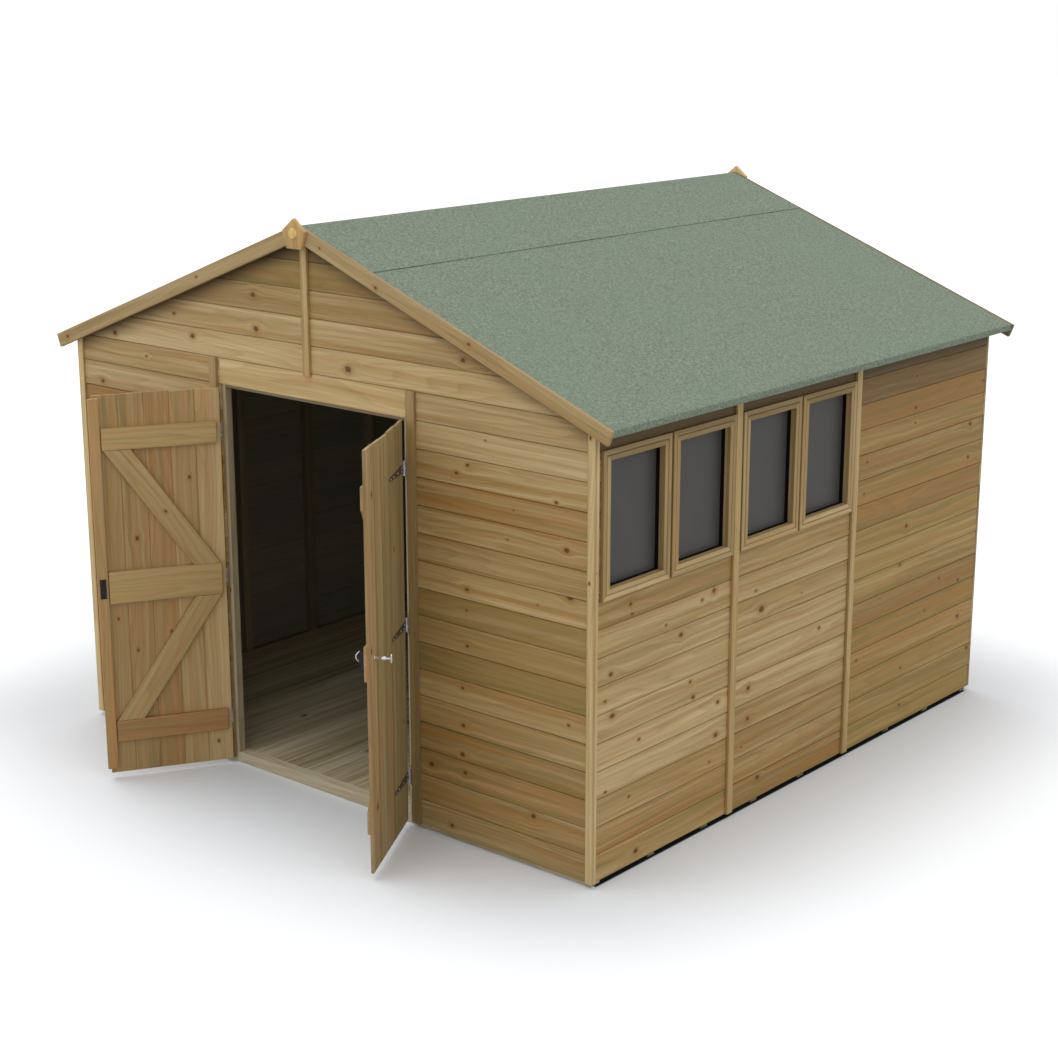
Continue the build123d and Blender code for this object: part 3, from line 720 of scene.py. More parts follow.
def cladBox(low, high, way, codes, seed, knots=None, cutsAt=None):
    # rows of boards that fill a box, with cutsAt(z) giving the half length of a gable row
    k = cladding
    along, across = (np.array(w, float) for w in wallWays[way])
    axis = int(np.argmax(np.abs(along)))
    chance = np.random.default_rng(seed)
    parts = []
    row = max(int(round((low[2] - k["first"]) / k["pitch"] - 0.45)), 0)
    while k["first"] + row * k["pitch"] < high[2] - 0.003:
        z0 = max(low[2], k["first"] + row * k["pitch"])
        z1 = min(high[2], k["first"] + (row + 1) * k["pitch"])
        row += 1
        if z1 - z0 < k["least"]:
            continue
        middle = (low + high) / 2
        middle[2] = (z0 + z1) / 2
        reach = (high[axis] - low[axis]) / 2
        cuts = (0.0, 0.0)
        if cutsAt is not None:
            reach = cutsAt(middle[2])
            slant = (cutsAt(z1) - cutsAt(z0)) / (z1 - z0)
            cuts = (-slant, slant)
        start = middle.copy()
        start[axis] = middle[axis] - along[axis] * reach
        own = []
        for place, z, radius in knots or ():
            u = (place - start[axis]) * along[axis]
            if z0 <= z < z1 and 0 < u < 2 * reach:
                own.append((u, z - middle[2], radius * k["knotSize"]))
        if knots is None:
            for _ in range(chance.integers(0, 4)):
                u, v = chance.uniform(0.04, 2 * reach), chance.uniform(-0.04, 0.04)
                own.append((u, v, chance.uniform(0.003, 0.010)))
        tongued = k["first"] + row * k["pitch"] < high[2] - k["least"]
        outline = claddingOutline(z1 - z0, tongued, z0 > low[2] + 0.001)
        tone = codes[(row - 1) % len(codes)]
        parts.append(board(
            start, along, across, 2 * reach, outline, cuts, tone, own, seed * 100 + row, k["wave"], 7,
            innerSide=True,
        ))
    return parts


def splitBox(low, high, axis, places):
    # cuts a box at places along an axis
    inner = [p for p in sorted(places) if low[axis] + 0.01 < p < high[axis] - 0.01]
    edges = [low[axis]] + inner + [high[axis]]
    made = []
    for a, b in zip(edges[:-1], edges[1:]):
        one, two = low.copy(), high.copy()
        one[axis], two[axis] = a, b
        made.append((one, two))
    return made


def gableReach(z):
    return max(min((apex - z) / gableSlope, 3.0), 0.004)


frontFace = boxOf("front_wall_left")[0][1]
sideKnotsHere = [(frontFace + d, z, r) for d, z, r in sideKnots]
lowStrips = [(lo, hi) for lo, hi in boxesOf("cover_strips") if hi[2] < 1.9 and lo[0] > 1]
stripPlaces = sorted({round(float(lo[1] + hi[1]) / 2, 4) for lo, hi in lowStrips})
# the tone of each row, lowest first; the letters q, d and k are dark tones of painted shade under the eaves
# and the barges
wallTones = {
    "front_wall_left": "aaaaoooohyaaaayy",
    "front_wall_right": "hhaahyohoyahayyy",
    "header_panel": "h" * 15 + "w",
    "front_gable": "h" * 16 + "pyhokkkk",
    "rear_gable": "h" * 16 + "yhoophoa",
    "rear_wall": "bhoahyphohabphoy",
    "left_wall": "obhaohyphoahbhyo",
    "right_wall_lower": "cchypyyyyhhhhhhh",
    "right_wall_rear": "vvtxxutvvuxutudq",
    "window_surround": "h" * 15 + "qq",
}
eaveRun = 1.492
apex = boxOf("front_gable")[1][2]
roofPitch = math.radians(21.04)
gableSlope = math.tan(roofPitch)
for number, (node, way) in enumerate((
    ("front_wall_left", "front"), ("front_wall_right", "front"), ("header_panel", "front"),
    ("rear_wall", "rear"), ("left_wall", "left"), ("right_wall_lower", "right"), ("right_wall_rear", "right"),
)):
    low, high = boxOf(node)
    axis = 1 if way in ("left", "right") else 0
    places = stripPlaces if axis == 1 else ([0.0] if node == "rear_wall" else [])
    marks = {"front": frontKnots, "right": sideKnotsHere}.get(way)
    made = []
    for k, (one, two) in enumerate(splitBox(low, high, axis, places)):
        codes = wallTones[node]
        codes = codes[k * 3:] + codes[:k * 3] if way in ("rear", "left") else codes
        made += cladBox(one, two, way, codes, 11 + number * 7 + k, marks)
    piece(node + "_boards", made, "claddingWood", node)
for number, (node, way) in enumerate((("front_gable", "front"), ("rear_gable", "rear"))):
    marks = frontKnots if way == "front" else None
    made = cladBox(*boxOf(node), way, wallTones[node], 71 + number, marks, gableReach)
    for part in made:
        part["points"][:, 0] = np.clip(part["points"][:, 0], -eaveRun, eaveRun)
    piece(node + "_boards", made, "claddingWood", node)
made = []
for k, (low, high) in enumerate(boxesOf("window_surround")):
    made += cladBox(low, high, "right", wallTones["window_surround"], 83 + k, [])
piece("window_surround_boards", made, "claddingWood", "window_surround")
print("cladding boards laid")


def timber(low, high, tone="h", seed=0, arris=0.0015, face=None, knots=()):
    # a squared timber that fills a box, its grain along the longest side; face is the axis of its thickness
    low, high = np.array(low, float), np.array(high, float)
    size = high - low
    long = int(np.argmax(size))
    rest = [k for k in range(3) if k != long]
    thin = face if face is not None else min(rest, key=lambda k: size[k])
    wide = [k for k in rest if k != thin][0]
    along, across = np.zeros(3), np.zeros(3)
    along[long], across[wide] = 1, 1
    start = (low + high) / 2
    start[long] = low[long]
    outline = rounded(size[wide], size[thin], arris)
    return board(start, along, across, size[long], outline, tone=tone, knots=knots, seed=seed, arris=arris)


def randomKnots(chance, length, half, most):
    found = []
    for _ in range(chance.integers(0, most + 1)):
        u, v = chance.uniform(0.03, length - 0.03), chance.uniform(-half * 0.6, half * 0.6)
        found.append((u, v, chance.uniform(0.002, half * 0.35)))
    return found


def timbers(node, codes, seed, arris=0.0015):
    made = []
    chance = np.random.default_rng(seed)
    for k, (low, high) in enumerate(boxesOf(node)):
        size = np.sort(high - low)
        marks = randomKnots(chance, size[2], size[1] / 2, 2)
        # painted light: the door posts at the doorway are lighter than the frames inside, which carry painted
        # shade
        atDoorway = node == "end_wall_studs" and low[1] < 0 and abs(low[0] + high[0]) < 1.2
        tone = (1.5, 0.1, 0.5) if atDoorway else codes[k % len(codes)]
        made.append(timber(low, high, tone, seed * 50 + k, arris, None, marks))
    return made


# frames inside, the base and the roof timbers
for node, codes, seed in (
    ("end_wall_studs", "hobh", 3), ("end_wall_rails", "hbo", 4), ("side_wall_studs", "hohb", 5),
    ("window_rails", "ho", 6), ("door_head", "h", 7),
):
    piece(node + "_timber", timbers(node, codes, seed), "frameWood", node)
made = shapedAll(solidsOf("side_wall_rails"), (0, 1, 0), "h", 30)
piece("side_wall_rails_timber", made, "frameWood", "side_wall_rails")
made = []
for k, solid in enumerate(solidsOf("gable_frames") + solidsOf("roof_truss")):
    middle = (solid[0].min(0) + solid[0].max(0)) / 2
    way = (1, 0, 0)
    if np.ptp(solid[0][:, 0]) < 0.06:
        way = (0, 0, 1)
    elif abs(middle[0]) > 0.1:
        way = (1, 0, -math.copysign(gableSlope, middle[0]))
    made.append(shaped(solid, way, "hob"[k % 3], 40 + k))
piece("roof_frames_timber", made, "frameWood", "gable_frames", "roof_truss")
made = shapedAll(solidsOf("roof_purlins"), (0, 1, 0), "ho", 60)
piece("roof_purlins_timber", made, "frameWood", "roof_purlins")
piece("floor_bearers_timber", timbers("floor_bearers", "z", 8), "floorWood", "floor_bearers")
piece("front_sill_timber", timbers("front_sill", "p", 9, 0.003), "floorWood", "front_sill")

floorBoards = {"count": 27, "gap": 0.0016, "arris": 0.0012, "tones": "hyhghy"}
low, high = boxOf("floor_deck")
step = (high[0] - low[0]) / floorBoards["count"]
chance = np.random.default_rng(5)
made = []
for k in range(floorBoards["count"]):
    one, two = low.copy(), high.copy()
    one[0] = low[0] + k * step + floorBoards["gap"] / 2
    two[0] = low[0] + (k + 1) * step - floorBoards["gap"] / 2
    marks = randomKnots(chance, two[1] - one[1], step / 2, 3)
    tone = floorBoards["tones"][int(chance.integers(0, 6))]
    made.append(timber(one, two, tone, 300 + k, floorBoards["arris"], 2, marks))
piece("floor_deck_boards", made, "floorWood", "floor_deck")

# roof boards under the felt, laid along the ridge
roof = {"ridge": 2.4330, "half": 1.591, "felt": 0.003, "deck": 0.012, "boards": 16, "gap": 0.0012}
roofLow, roofHigh = boxOf("roof_deck_right")
roofLength = roofHigh[1] - roofLow[1]
slopeLength = roof["half"] / math.cos(roofPitch)


def onRoof(side, run, drop):
    x = run * math.cos(roofPitch) - drop * math.sin(roofPitch)
    return np.array((side * x, 0, roof["ridge"] - run * math.sin(roofPitch) - drop * math.cos(roofPitch)))


for side, node in ((1, "roof_deck_right"), (-1, "roof_deck_left")):
    made = []
    width = (slopeLength - 0.004 - 0.006) / roof["boards"]
    outline = rounded(width - roof["gap"], roof["deck"], 0.001)
    for k in range(roof["boards"]):
        start = onRoof(side, 0.006 + (k + 0.5) * width, roof["felt"] + roof["deck"] / 2)
        start[1] = roofLow[1]
        across = onRoof(side, 0, 0) - onRoof(side, 1, 0)
        marks = randomKnots(chance, roofLength, width / 2, 3)
        tone, cuts = "hobhy"[k % 5], (0, 0)
        made.append(board(start, (0, 1, 0), across, roofLength, outline, cuts, tone, marks, 400 + k))
    piece(node + "_boards", made, "roofBoard", node)
print("frames, floor and roof boards laid")


# turned parts: a profile (radius, height) carried round its own axis
def heads(places, ways, profile, sides):
    # point = place + r*(cos*a + sin*b) + h*way, where a and b lie square to the way
    places, ways = np.asarray(places, float), np.asarray(ways, float)
    helper = np.where(np.abs(ways[:, 2:]) < 0.9, np.array([[0.0, 0, 1]]), np.array([[1.0, 0, 0]]))
    a = np.cross(helper, ways)
    a /= np.linalg.norm(a, axis=1, keepdims=True)
    b = np.cross(ways, a)
    angle = np.arange(sides) / sides * 2 * math.pi
    cosine, sine = np.cos(angle)[None, None, :, None], np.sin(angle)[None, None, :, None]
    r, h = np.array(profile).T
    ring = cosine * a[:, None, None] + sine * b[:, None, None]
    risen = h[None, :, None, None] * ways[:, None, None]
    points = places[:, None, None] + r[None, :, None, None] * ring + risen
    own = tubeFaces(len(r), sides)
    faces = []
    for n in range(len(places)):
        faces += [[n * len(r) * sides + k for k in f] for f in own]
    return {"points": points.reshape(-1, 3), "faces": faces}


def wooden(part, tone="h", seed=0):
    # gives a part without boards the same fields, its grain in its own box
    chance = np.random.default_rng(seed)
    local = part["points"] - part["points"].mean(0)
    part["grain"] = local[:, [2, 0, 1]] + np.array([chance.uniform(0, 60), 0, chance.uniform(0, 60)])
    part["tone"] = tones[tone]
    part["size"] = (1.0, 1.0, 0.0)
    part["knots"] = [noKnot] * 3
    part["inner"] = np.zeros(len(local))
    return part


# trims outside; the narrow leg of a corner trim returns on the side wall
trim = {"leg": 0.008, "gap": 0.0004, "return": 0.026, "arris": 0.0012}
made = []
chance = np.random.default_rng(21)
for k, (points, _) in enumerate(solidsOf("corner_trims")):
    low, high = points.min(0), points.max(0)
    if low[1] > 0:
        marks = randomKnots(chance, 1.8, 0.018, 2)
        made.append(timber(low, high, "hyhy"[k], 500 + k, trim["arris"], 1, marks))
        continue
    out = np.sign((low + high) / 2)
    faceY = high[1] if out[1] > 0 else low[1]
    faceX = high[0] if out[0] > 0 else low[0]
    y0, y1 = sorted((faceY, faceY - out[1] * trim["leg"]))
    one, two = (low[0], y0, low[2]), (high[0], y1, high[2])
    marks = randomKnots(chance, 1.8, 0.018, 2)
    made.append(timber(one, two, "pyhy"[k], 500 + k, trim["arris"], 1, marks))
    x0, x1 = sorted((faceX, faceX - out[0] * trim["leg"]))
    y0, y1 = sorted((faceY - out[1] * (trim["leg"] + trim["gap"]), faceY - out[1] * trim["return"]))
    one, two = (x0, y0, low[2]), (x1, y1, high[2])
    marks = randomKnots(chance, 1.8, 0.009, 1)
    made.append(timber(one, two, "yphy"[k], 510 + k, trim["arris"], 0, marks))
piece("corner_trims_wood", made, "trimWood", "corner_trims")

made = []
for k, solid in enumerate(solidsOf("cover_strips")):
    low, high = solid[0].min(0), solid[0].max(0)
    if high[2] > 1.9:    # down the rear gable
        made.append(shaped(solid, (0, 0, 1), (0.78, 0.9, -0.2), 530, 0.0012))
        continue
    tone = "h" if 0 < low[1] < 1 else "yphhh"[k % 5]
    marks = randomKnots(chance, high[2] - low[2], 0.02, 3)
    made.append(timber(low, high, tone, 520 + k, 0.0014, None, marks))
piece("cover_strips_wood", made, "trimWood", "cover_strips")
battenTones = [(0.9, 0.6, -0.25), "h", (0.72, 0.25, -0.1)]    # on the gable, left and right of the doorway; the right one is darker as painted shade cast by the open right leaf
made = shapedAll(solidsOf("front_battens"), (0, 0, 1), battenTones, 540, 0.0012)
piece("front_battens_wood", made, "trimWood", "front_battens")

barge = {
    "thick": 0.018,
    "face": 0.061,
    "above": 0.004,       # how far it stands above the felt
    "rearAbove": 0.0006,
    "past": 0.010,        # how far it runs past the eave
    "off": 0.0003,        # between the plumb cut at the ridge and the middle
    "front": (0.78, 0.35, 0.1),
    "rear": (0.38, -0.2, 0.5),
    "knots": {
        1: [(0.14, 0.0, 0.004), (0.47, -0.01, 0.007), (0.98, 0.008, 0.006)],
        -1: [(0.66, 0.005, 0.005), (1.63, 0.0, 0.007)],
    },
}
bargeLow, bargeHigh = boxOf("bargeboards")
outline = rounded(barge["face"], barge["thick"], 0.002)
made = []
for front in (True, False):
    for side in (1, -1):
        y = bargeLow[1] if front else bargeHigh[1] - barge["thick"]
        top = onRoof(side, 0, barge["face"] / 2 - barge["above" if front else "rearAbove"])
        along = onRoof(side, 1, 0) - onRoof(side, 0, 0)
        across = onRoof(side, 0, 0) - onRoof(side, 0, 1)
        u0 = (barge["off"] - side * top[0]) / math.cos(roofPitch)
        start = top + along * u0
        start[1] = y + barge["thick"] / 2
        made.append(board(
            start, along, across, slopeLength + barge["past"] - u0, outline, (-gableSlope, 0),
            barge["front" if front else "rear"], barge["knots"][side], 560 + side + 3 * front,
            0.0005, 9, 0.0015,
        ))
piece("bargeboards_wood", made, "trimWood", "bargeboards")

# finials: an eased five-sided plate, and a turned disc on it that hangs below the plate's shoulders
finial = {
    "plate": 0.018,
    "peak": 0.030,        # from the tip down to where the sizes below are counted from
    "shoulder": (0.064, -0.021),
    "foot": (0.041, -0.092),
    "disc": 0.022,
    "discDrop": 0.030,
    "ease": 0.0025,
}
plates, discs = [], []
for k, (low, high) in enumerate(boxesOf("finials")):
    top = high[2] - finial["peak"]
    (a, b), (c, d) = finial["shoulder"], finial["foot"]
    outline = np.array([(0, high[2]), (-a, top + b), (-c, top + d), (c, top + d), (a, top + b)])
    facing = -1 if high[1] < 0 else 1
    foot = high[1] if facing < 0 else low[1]
    depths = sorted((foot, foot + facing * finial["plate"]))
    points = np.array([(x, y, z) for y in depths for x, z in outline])
    fan = [(0, 2, 1), (0, 3, 2), (0, 4, 3)]
    rims = [(n, (n + 1) % 5, 5 + n) for n in range(5)]
    rims += [((n + 1) % 5, 5 + (n + 1) % 5, 5 + n) for n in range(5)]
    solid = fan + [(5 + p, 5 + r, 5 + q) for p, q, r in fan] + rims
    tone = "f" if facing < 0 else "p"
    plates.append(shaped((points, np.array(solid)), (0, 0, 1), tone, 570 + k, finial["ease"]))
    spot = (0, foot + facing * finial["plate"], top - finial["discDrop"])
    r = finial["disc"]
    rise = high[1] - low[1] - finial["plate"]
    profile = [
        (0.0004, -0.001), (r, -0.001), (r, rise * 0.55), (r * 0.93, rise * 0.85),
        (r * 0.72, rise), (r * 0.3, rise), (0.0004, rise),
    ]
    discs.append(wooden(heads([spot], [(0, facing, 0)], profile, 40), "e", 575 + k))
piece("finials_wood", plates, "trimWood", "finials", smooth=40)
piece("finial_discs", discs, "discWood", smooth=40)
print("trims fixed")

# windows: a mitred frame in two steps, a liner through the wall, a seal whose near-black colour is painted
# shade in the reveal, and a pane
window = {
    "bar": 0.043,
    "split": 0.0205,      # width of the outer step
    "groove": 0.0016,     # between the steps
    "ease": 0.0008,
    "liner": 0.013,
    "seal": 0.0016,
    "sealSunk": 0.011,    # how far the seal lies behind the wall's face
    # sill, rear stile, head, front stile; the head is darker as painted shade under the eaves
    "tones": [(0.93, 0.2, 0.1), (0.8, 0.35, -0.1), (0.66, 0.3, -0.4), (0.84, 0.5, -0.1)],
}


def frameRing(low, high, x0, x1, outer, inner, outline, codes, seed):
    # four mitred bars between the outer and inner insets of an opening that lies in the y-z plane
    made = []
    middle = (outer + inner) / 2
    xm = (x0 + x1) / 2
    y0, y1, z0, z1 = low[1] + middle, high[1] - middle, low[2] + middle, high[2] - middle
    corners = [(y0, z0), (y1, z0), (y1, z1), (y0, z1)]
    inward = [(0, 0, 1), (0, -1, 0), (0, 0, -1), (0, 1, 0)]
    for k in range(4):
        start, end = np.array((xm, *corners[k])), np.array((xm, *corners[(k + 1) % 4]))
        length = np.linalg.norm(end - start)
        ends = (1.0, -1.0)
        made.append(board(
            start, end - start, inward[k], length, outline, ends, codes[k], (), seed + k, arris=0.0004,
        ))
    return made


rings, liners, sealsAndShade = [], [], []
wallFace = boxOf("right_wall_rear")[1][0]
paneFace = float(boxOf("window_panes")[1][0]) + 0.0002
sealFace = wallFace - window["sealSunk"]
for k, (low, high) in enumerate(boxesOf("window_frames")):
    w = window
    bar, proud, seed = w["bar"], high[0] - wallFace, 10 * k
    outline = rounded(w["split"], proud, w["ease"])
    rings += frameRing(low, high, wallFace, high[0], 0.0, w["split"], outline, w["tones"], 600 + seed)
    inset = w["split"] + w["groove"]
    outline = rounded(bar - w["split"] - w["groove"], proud, w["ease"])
    rings += frameRing(low, high, wallFace, high[0], inset, bar, outline, w["tones"], 605 + seed)
    outline = rounded(w["liner"], wallFace - low[0], 0.001)
    back = wallFace - 0.0002
    liners += frameRing(low, high, low[0], back, bar - w["liner"], bar, outline, "hoho", 650 + seed)
    outline = rounded(w["seal"], sealFace - paneFace, 0.0004)
    first, last = bar + 0.0001, bar + w["seal"]
    sealsAndShade += frameRing(low, high, paneFace, sealFace, first, last, outline, "hhhh", 700 + seed)
piece("window_frames_wood", rings + liners, "trimWood", "window_frames")
piece("window_seals", sealsAndShade, "glazingSeal")
for slot in frame["nodes"]["window_panes"].material_slots:
    slot.material = materials["windowPane"]
print("windows glazed")

# felt: sheets laid over the boards, with faint waves, turned down at the eaves
felt = {"lip": 0.027, "ridgeHalf": 0.430, "lap": 0.075, "wave": 0.0012, "ridgeWave": 0.0008, "stations": 70}


def feltSheet(outline, wave, seed):
    # outline (x, z) carried along y; every point sinks by wave*(1+sin)*(1+sin)/4 of its run and place
    rim = np.asarray(outline, float)
    y = np.linspace(roofLow[1], roofHigh[1], felt["stations"])
    a, b = np.random.default_rng(seed).uniform(0, 6.28, 2)
    run, place = np.meshgrid(np.hypot(rim[:, 0], rim[:, 1] - roof["ridge"]), y)
    sink = wave * (1 + np.sin(run * 9 + 2.1 * place + a)) * (1 + np.sin(place * 5.3 - run * 3 + b)) / 4
    points = np.stack([np.broadcast_to(rim[:, 0], run.shape), place, rim[:, 1] - sink], -1).reshape(-1, 3)
    return {"points": points, "faces": tubeFaces(len(y), len(rim))}


def slopeLine(first, last, drop, count):
    runs = np.linspace(first, last, count)
    return [onRoof(1, r, drop)[[0, 2]] for r in runs]


def mirrored(line):
    return [p * np.array((-1, 1)) for p in reversed(line)]


lapTop = felt["ridgeHalf"] - felt["lap"]
eave = onRoof(1, slopeLength, 0)[[0, 2]]
t, lip = roof["felt"], felt["lip"]
turnDown = [(-0.0016, -0.0003), (-0.0003, -0.002), (0, -0.006), (0, -lip), (-t, -lip), (-t, -0.006)]
over, below = slopeLine(lapTop, slopeLength - 0.006, 0, 22), slopeLine(slopeLength - 0.006, lapTop, t, 22)
for side, node in ((1, "felt_right"), (-1, "felt_left")):
    made = feltSheet(np.array(over + [eave + p for p in turnDown] + below), felt["wave"], 3 + side)
    if side < 0:
        made["points"][:, 0] *= -1
        made["faces"] = [f[::-1] for f in made["faces"]]
    piece(node + "_sheet", [made], "mineralFelt", node, smooth=35)
rise = slopeLine(felt["ridgeHalf"], lapTop + 0.002, -t, 5) + slopeLine(lapTop - 0.008, 0.03, 0, 8)
under = slopeLine(0.03, lapTop - 0.002, t, 8) + slopeLine(lapTop, felt["ridgeHalf"], 0, 5)
ridgeTop = [np.array((x, roof["ridge"] - z)) for x, z in ((0.012, 0.0028), (0, 0.0012), (-0.012, 0.0028))]
ridgeUnder = [np.array((0, onRoof(1, 0, t)[2]))]
outline = np.array(rise + ridgeTop + mirrored(rise) + mirrored(under) + ridgeUnder + under)
made = feltSheet(outline[::-1], felt["ridgeWave"], 9)
piece("felt_ridge_sheet", [made], "mineralFelt", "felt_ridge", smooth=35)
print("felt laid")

# doors: boards are counted from the hinge side, ledges and braces from the foot
leaf = {"boards": 5, "groove": 0.0009, "clear": 0.0002, "uneven": 0.008, "lean": 0.05}
leaves = {
    "left": {
        "wood": "doorWood",
        "order": 4,       # of its random lengths
        "seed": 20,
        "boards": [
            (0.98, 0.2, 0.35), (0.94, 0.4, 0.0), (0.88, 0.85, 0.0), (0.84, 0.95, -0.1), (0.85, 0.7, -0.2),
        ],
        "ledges": [(0.82, 1.0, 0.0), (1.14, 0.1, -0.3), (1.12, 0.1, -0.25)],
        "braceKnots": [[], [(0.3, 0.0, 0.006)]],
        "knots": {
            0: [(0.09, 0.01, 0.006)],
            1: [(1.3, -0.02, 0.006)],
            2: [(0.16, 0.02, 0.008), (0.62, -0.02, 0.006)],
            3: [(0.55, 0.02, 0.006), (1.05, 0.0, 0.008)],
            4: [(0.7, -0.01, 0.005)],
        },
    },
    "right": {
        "wood": "doorFace",
        "order": 8,
        "seed": 0,
        "boards": ["g", (0.92, 0.0, -0.5), "g", (0.94, 0.1, -0.2), "a"],
        "ledges": "oho",
        "braceKnots": [[], []],
        "knots": {
            0: [(0.45, 0.0, 0.006)], 1: [(1.2, 0.01, 0.006)], 2: [(0.8, 0.02, 0.005)],
            4: [(0.25, 0.02, 0.01), (0.9, -0.02, 0.008), (1.5, 0.02, 0.008)],
        },
    },
}
for side, own in leaves.items():
    body = side + "_door"
    low, high = boxesOf(side + "_leaf", side)[0]
    g, clear = leaf["groove"], leaf["clear"]
    width = (high[0] - low[0]) / leaf["boards"]
    half, deep = width / 2, (high[1] - low[1]) / 2
    outline = np.array([
        (half - g, -deep), (half - clear, -deep + g), (half - clear, deep - g), (half - g, deep),
        (-half + g, deep), (-half + clear, deep - g), (-half + clear, -deep + g), (-half + g, -deep),
    ])
    chance = np.random.default_rng(own["order"])
    made = []
    for k in range(leaf["boards"]):
        x = (high[0] - (k + 0.5) * width) if side == "right" else (low[0] + (k + 0.5) * width)
        length = high[2] - low[2] - chance.uniform(0, leaf["uneven"])
        start = (x, (low[1] + high[1]) / 2, low[2])
        cuts = (0, chance.uniform(-leaf["lean"], leaf["lean"]))
        marks = own["knots"].get(k, [])
        tone, seed = own["boards"][k], 800 + k + own["seed"]
        made.append(board(start, (0, 0, 1), (1, 0, 0), length, outline, cuts, tone, marks, seed, stations=5))
    piece(side + "_leaf_boards", made, own["wood"], side + "_leaf", body=body, side=side)

    made = []
    for points, _ in solidsOf(side + "_bracing", side):
        low, high = points.min(0), points.max(0)
        if high[2] - low[2] < 0.2:
            rank = int(low[2] >= 0.4) + int(low[2] >= 1.2)
            made.append(timber(low, high, own["ledges"][rank], 840 + rank + own["seed"], 0.003, 1))
            continue
        # a brace: its ends are cut level, so its way runs between the middles of the two cuts
        foot = points[points[:, 2] < low[2] + 0.001]
        bottom, top = foot.mean(0), points[points[:, 2] > high[2] - 0.001].mean(0)
        along = unit(top - bottom)
        across = np.array((along[2], 0, -along[0]))
        wide = (foot[:, 0].max() - foot[:, 0].min()) * along[2]
        lean = -across[2] / along[2]
        rank = int(low[2] >= 0.6)
        length = np.linalg.norm(top - bottom)
        brace = rounded(wide, high[1] - low[1], 0.003)
        marks, seed = own["braceKnots"][rank], 850 + rank + own["seed"]
        made.append(board(bottom, along, across, length, brace, (lean, lean), "o", marks, seed, arris=0.0015))
    piece(side + "_bracing_wood", made, "doorWood", side + "_bracing", body=body, side=side)
made = shapedAll(solidsOf("meeting_strip"), (0, 0, 1), [(1.02, 0.95, 0.1)], 870, 0.001)
piece("meeting_strip_wood", made, "doorWood", "meeting_strip", body="left_door")
print("doors hung")

# fasteners: pins in the cladding, one through each board at each stud, just above the board's lower edge
pinLook = {"up": 0.026, "margin": 0.015, "sunk": 0.0005, "sides": 8}
pinProfile = [(0.0, -0.002), (0.0019, -0.002), (0.0019, 0.0002), (0.0014, 0.0005), (0.0003, 0.0006)]
screwProfile = [
    (0.0005, -0.001), (0.0038, -0.001), (0.0038, 0.0004), (0.0030, 0.0013), (0.0016, 0.0016),
    (0.0012, 0.0007), (0.0003, 0.0006),
]


def pinRows(low, high, way, studs):
    rows = int(round((high[2] - low[2]) / cladding["pitch"]))
    outward = np.cross(*wallWays[way]).astype(float)
    axis = int(outward[0] != 0)
    face = (high if outward[1 - axis] > 0 else low)[1 - axis]
    inside = [s for s in studs if low[axis] + pinLook["margin"] < s < high[axis] - pinLook["margin"]]
    places = np.zeros((len(inside), rows, 3))
    places[..., axis] = np.array(inside)[:, None]
    places[..., 2] = (low[2] + np.arange(rows) * cladding["pitch"] + pinLook["up"])[None]
    places[..., 1 - axis] = face
    places = places.reshape(-1, 3) - outward * pinLook["sunk"]
    return places, np.broadcast_to(outward, places.shape)


def centres(node, axis, keep):
    return sorted({round(float(lo[axis] + hi[axis]) / 2, 4) for lo, hi in boxesOf(node) if keep(lo, hi)})


frontStuds = centres("end_wall_studs", 0, lambda lo, hi: hi[1] < 0)
rearStuds = centres("end_wall_studs", 0, lambda lo, hi: lo[1] > 0)
sideStuds = centres("side_wall_studs", 1, lambda lo, hi: lo[0] > 0)
pinned = []
for node, way, studs in (
    ("front_wall_left", "front", frontStuds), ("front_wall_right", "front", frontStuds),
    ("rear_wall", "rear", rearStuds), ("left_wall", "left", sideStuds),
    ("right_wall_lower", "right", sideStuds), ("right_wall_rear", "right", sideStuds),
):
    pinned.append(pinRows(*boxOf(node), way, studs))
places, ways = (np.concatenate(found) for found in zip(*pinned))
piece("cladding_pins", [heads(places, ways, pinProfile, pinLook["sides"])], "pinHeads", smooth=40)

# hinges, screws, strike plate and lock
barrel = 0.0115    # round the pin the steel keeps its bright galvanised colour; beyond it the strap takes a darker steel as painted shade
for node, body in (("hinge_plates", "shed"), ("left_straps", "left_door"), ("right_straps", "right_door")):
    made = shapedAll(solidsOf(node), (0, 0, 1), "h", 900, 0.0006, 1)
    hinge = piece(node + "_steel", made, "galvanisedSteel", node, body=body, smooth=40)
    hinge.data.materials.append(materials["strapSteel"])
    places = np.zeros(len(hinge.data.polygons) * 3)
    hinge.data.polygons.foreach_get("center", places)
    places = places.reshape(-1, 3)
    # faces beyond the barrel take the darker steel of painted shade
    distance = np.min([np.hypot(*(places - d["pin"])[:, :2].T) for d in doors.values()], axis=0)
    hinge.data.polygons.foreach_set("material_index", (distance > barrel).astype(int))
# (distance from the pin, height) of each screw in a strap
strapScrews = ((0.024, 0.008), (0.024, -0.008), (0.085, 0.0), (0.150, 0.0), (0.190, 0.0))
screwFace = frontFace - 0.008
for side, inward in (("left", 1), ("right", -1)):
    edge = doors[side]["pin"][0]
    places = []
    for low, high in boxesOf(side + "_straps", side):
        z = (low[2] + high[2]) / 2
        places += [(edge + inward * d, screwFace, z + dz) for d, dz in strapScrews]
    screws = heads(places, [(0, -1, 0)] * len(places), screwProfile, 12)
    piece(side + "_strap_screws", [screws], "galvanisedSteel", body=side + "_door", smooth=40, side=side)
made = shapedAll(solidsOf("strike_plate"), (0, 0, 1), "h", 930, 0.0006, 1)
piece("strike_plate_steel", made, "blackSteel", "strike_plate", body="left_door", smooth=40)

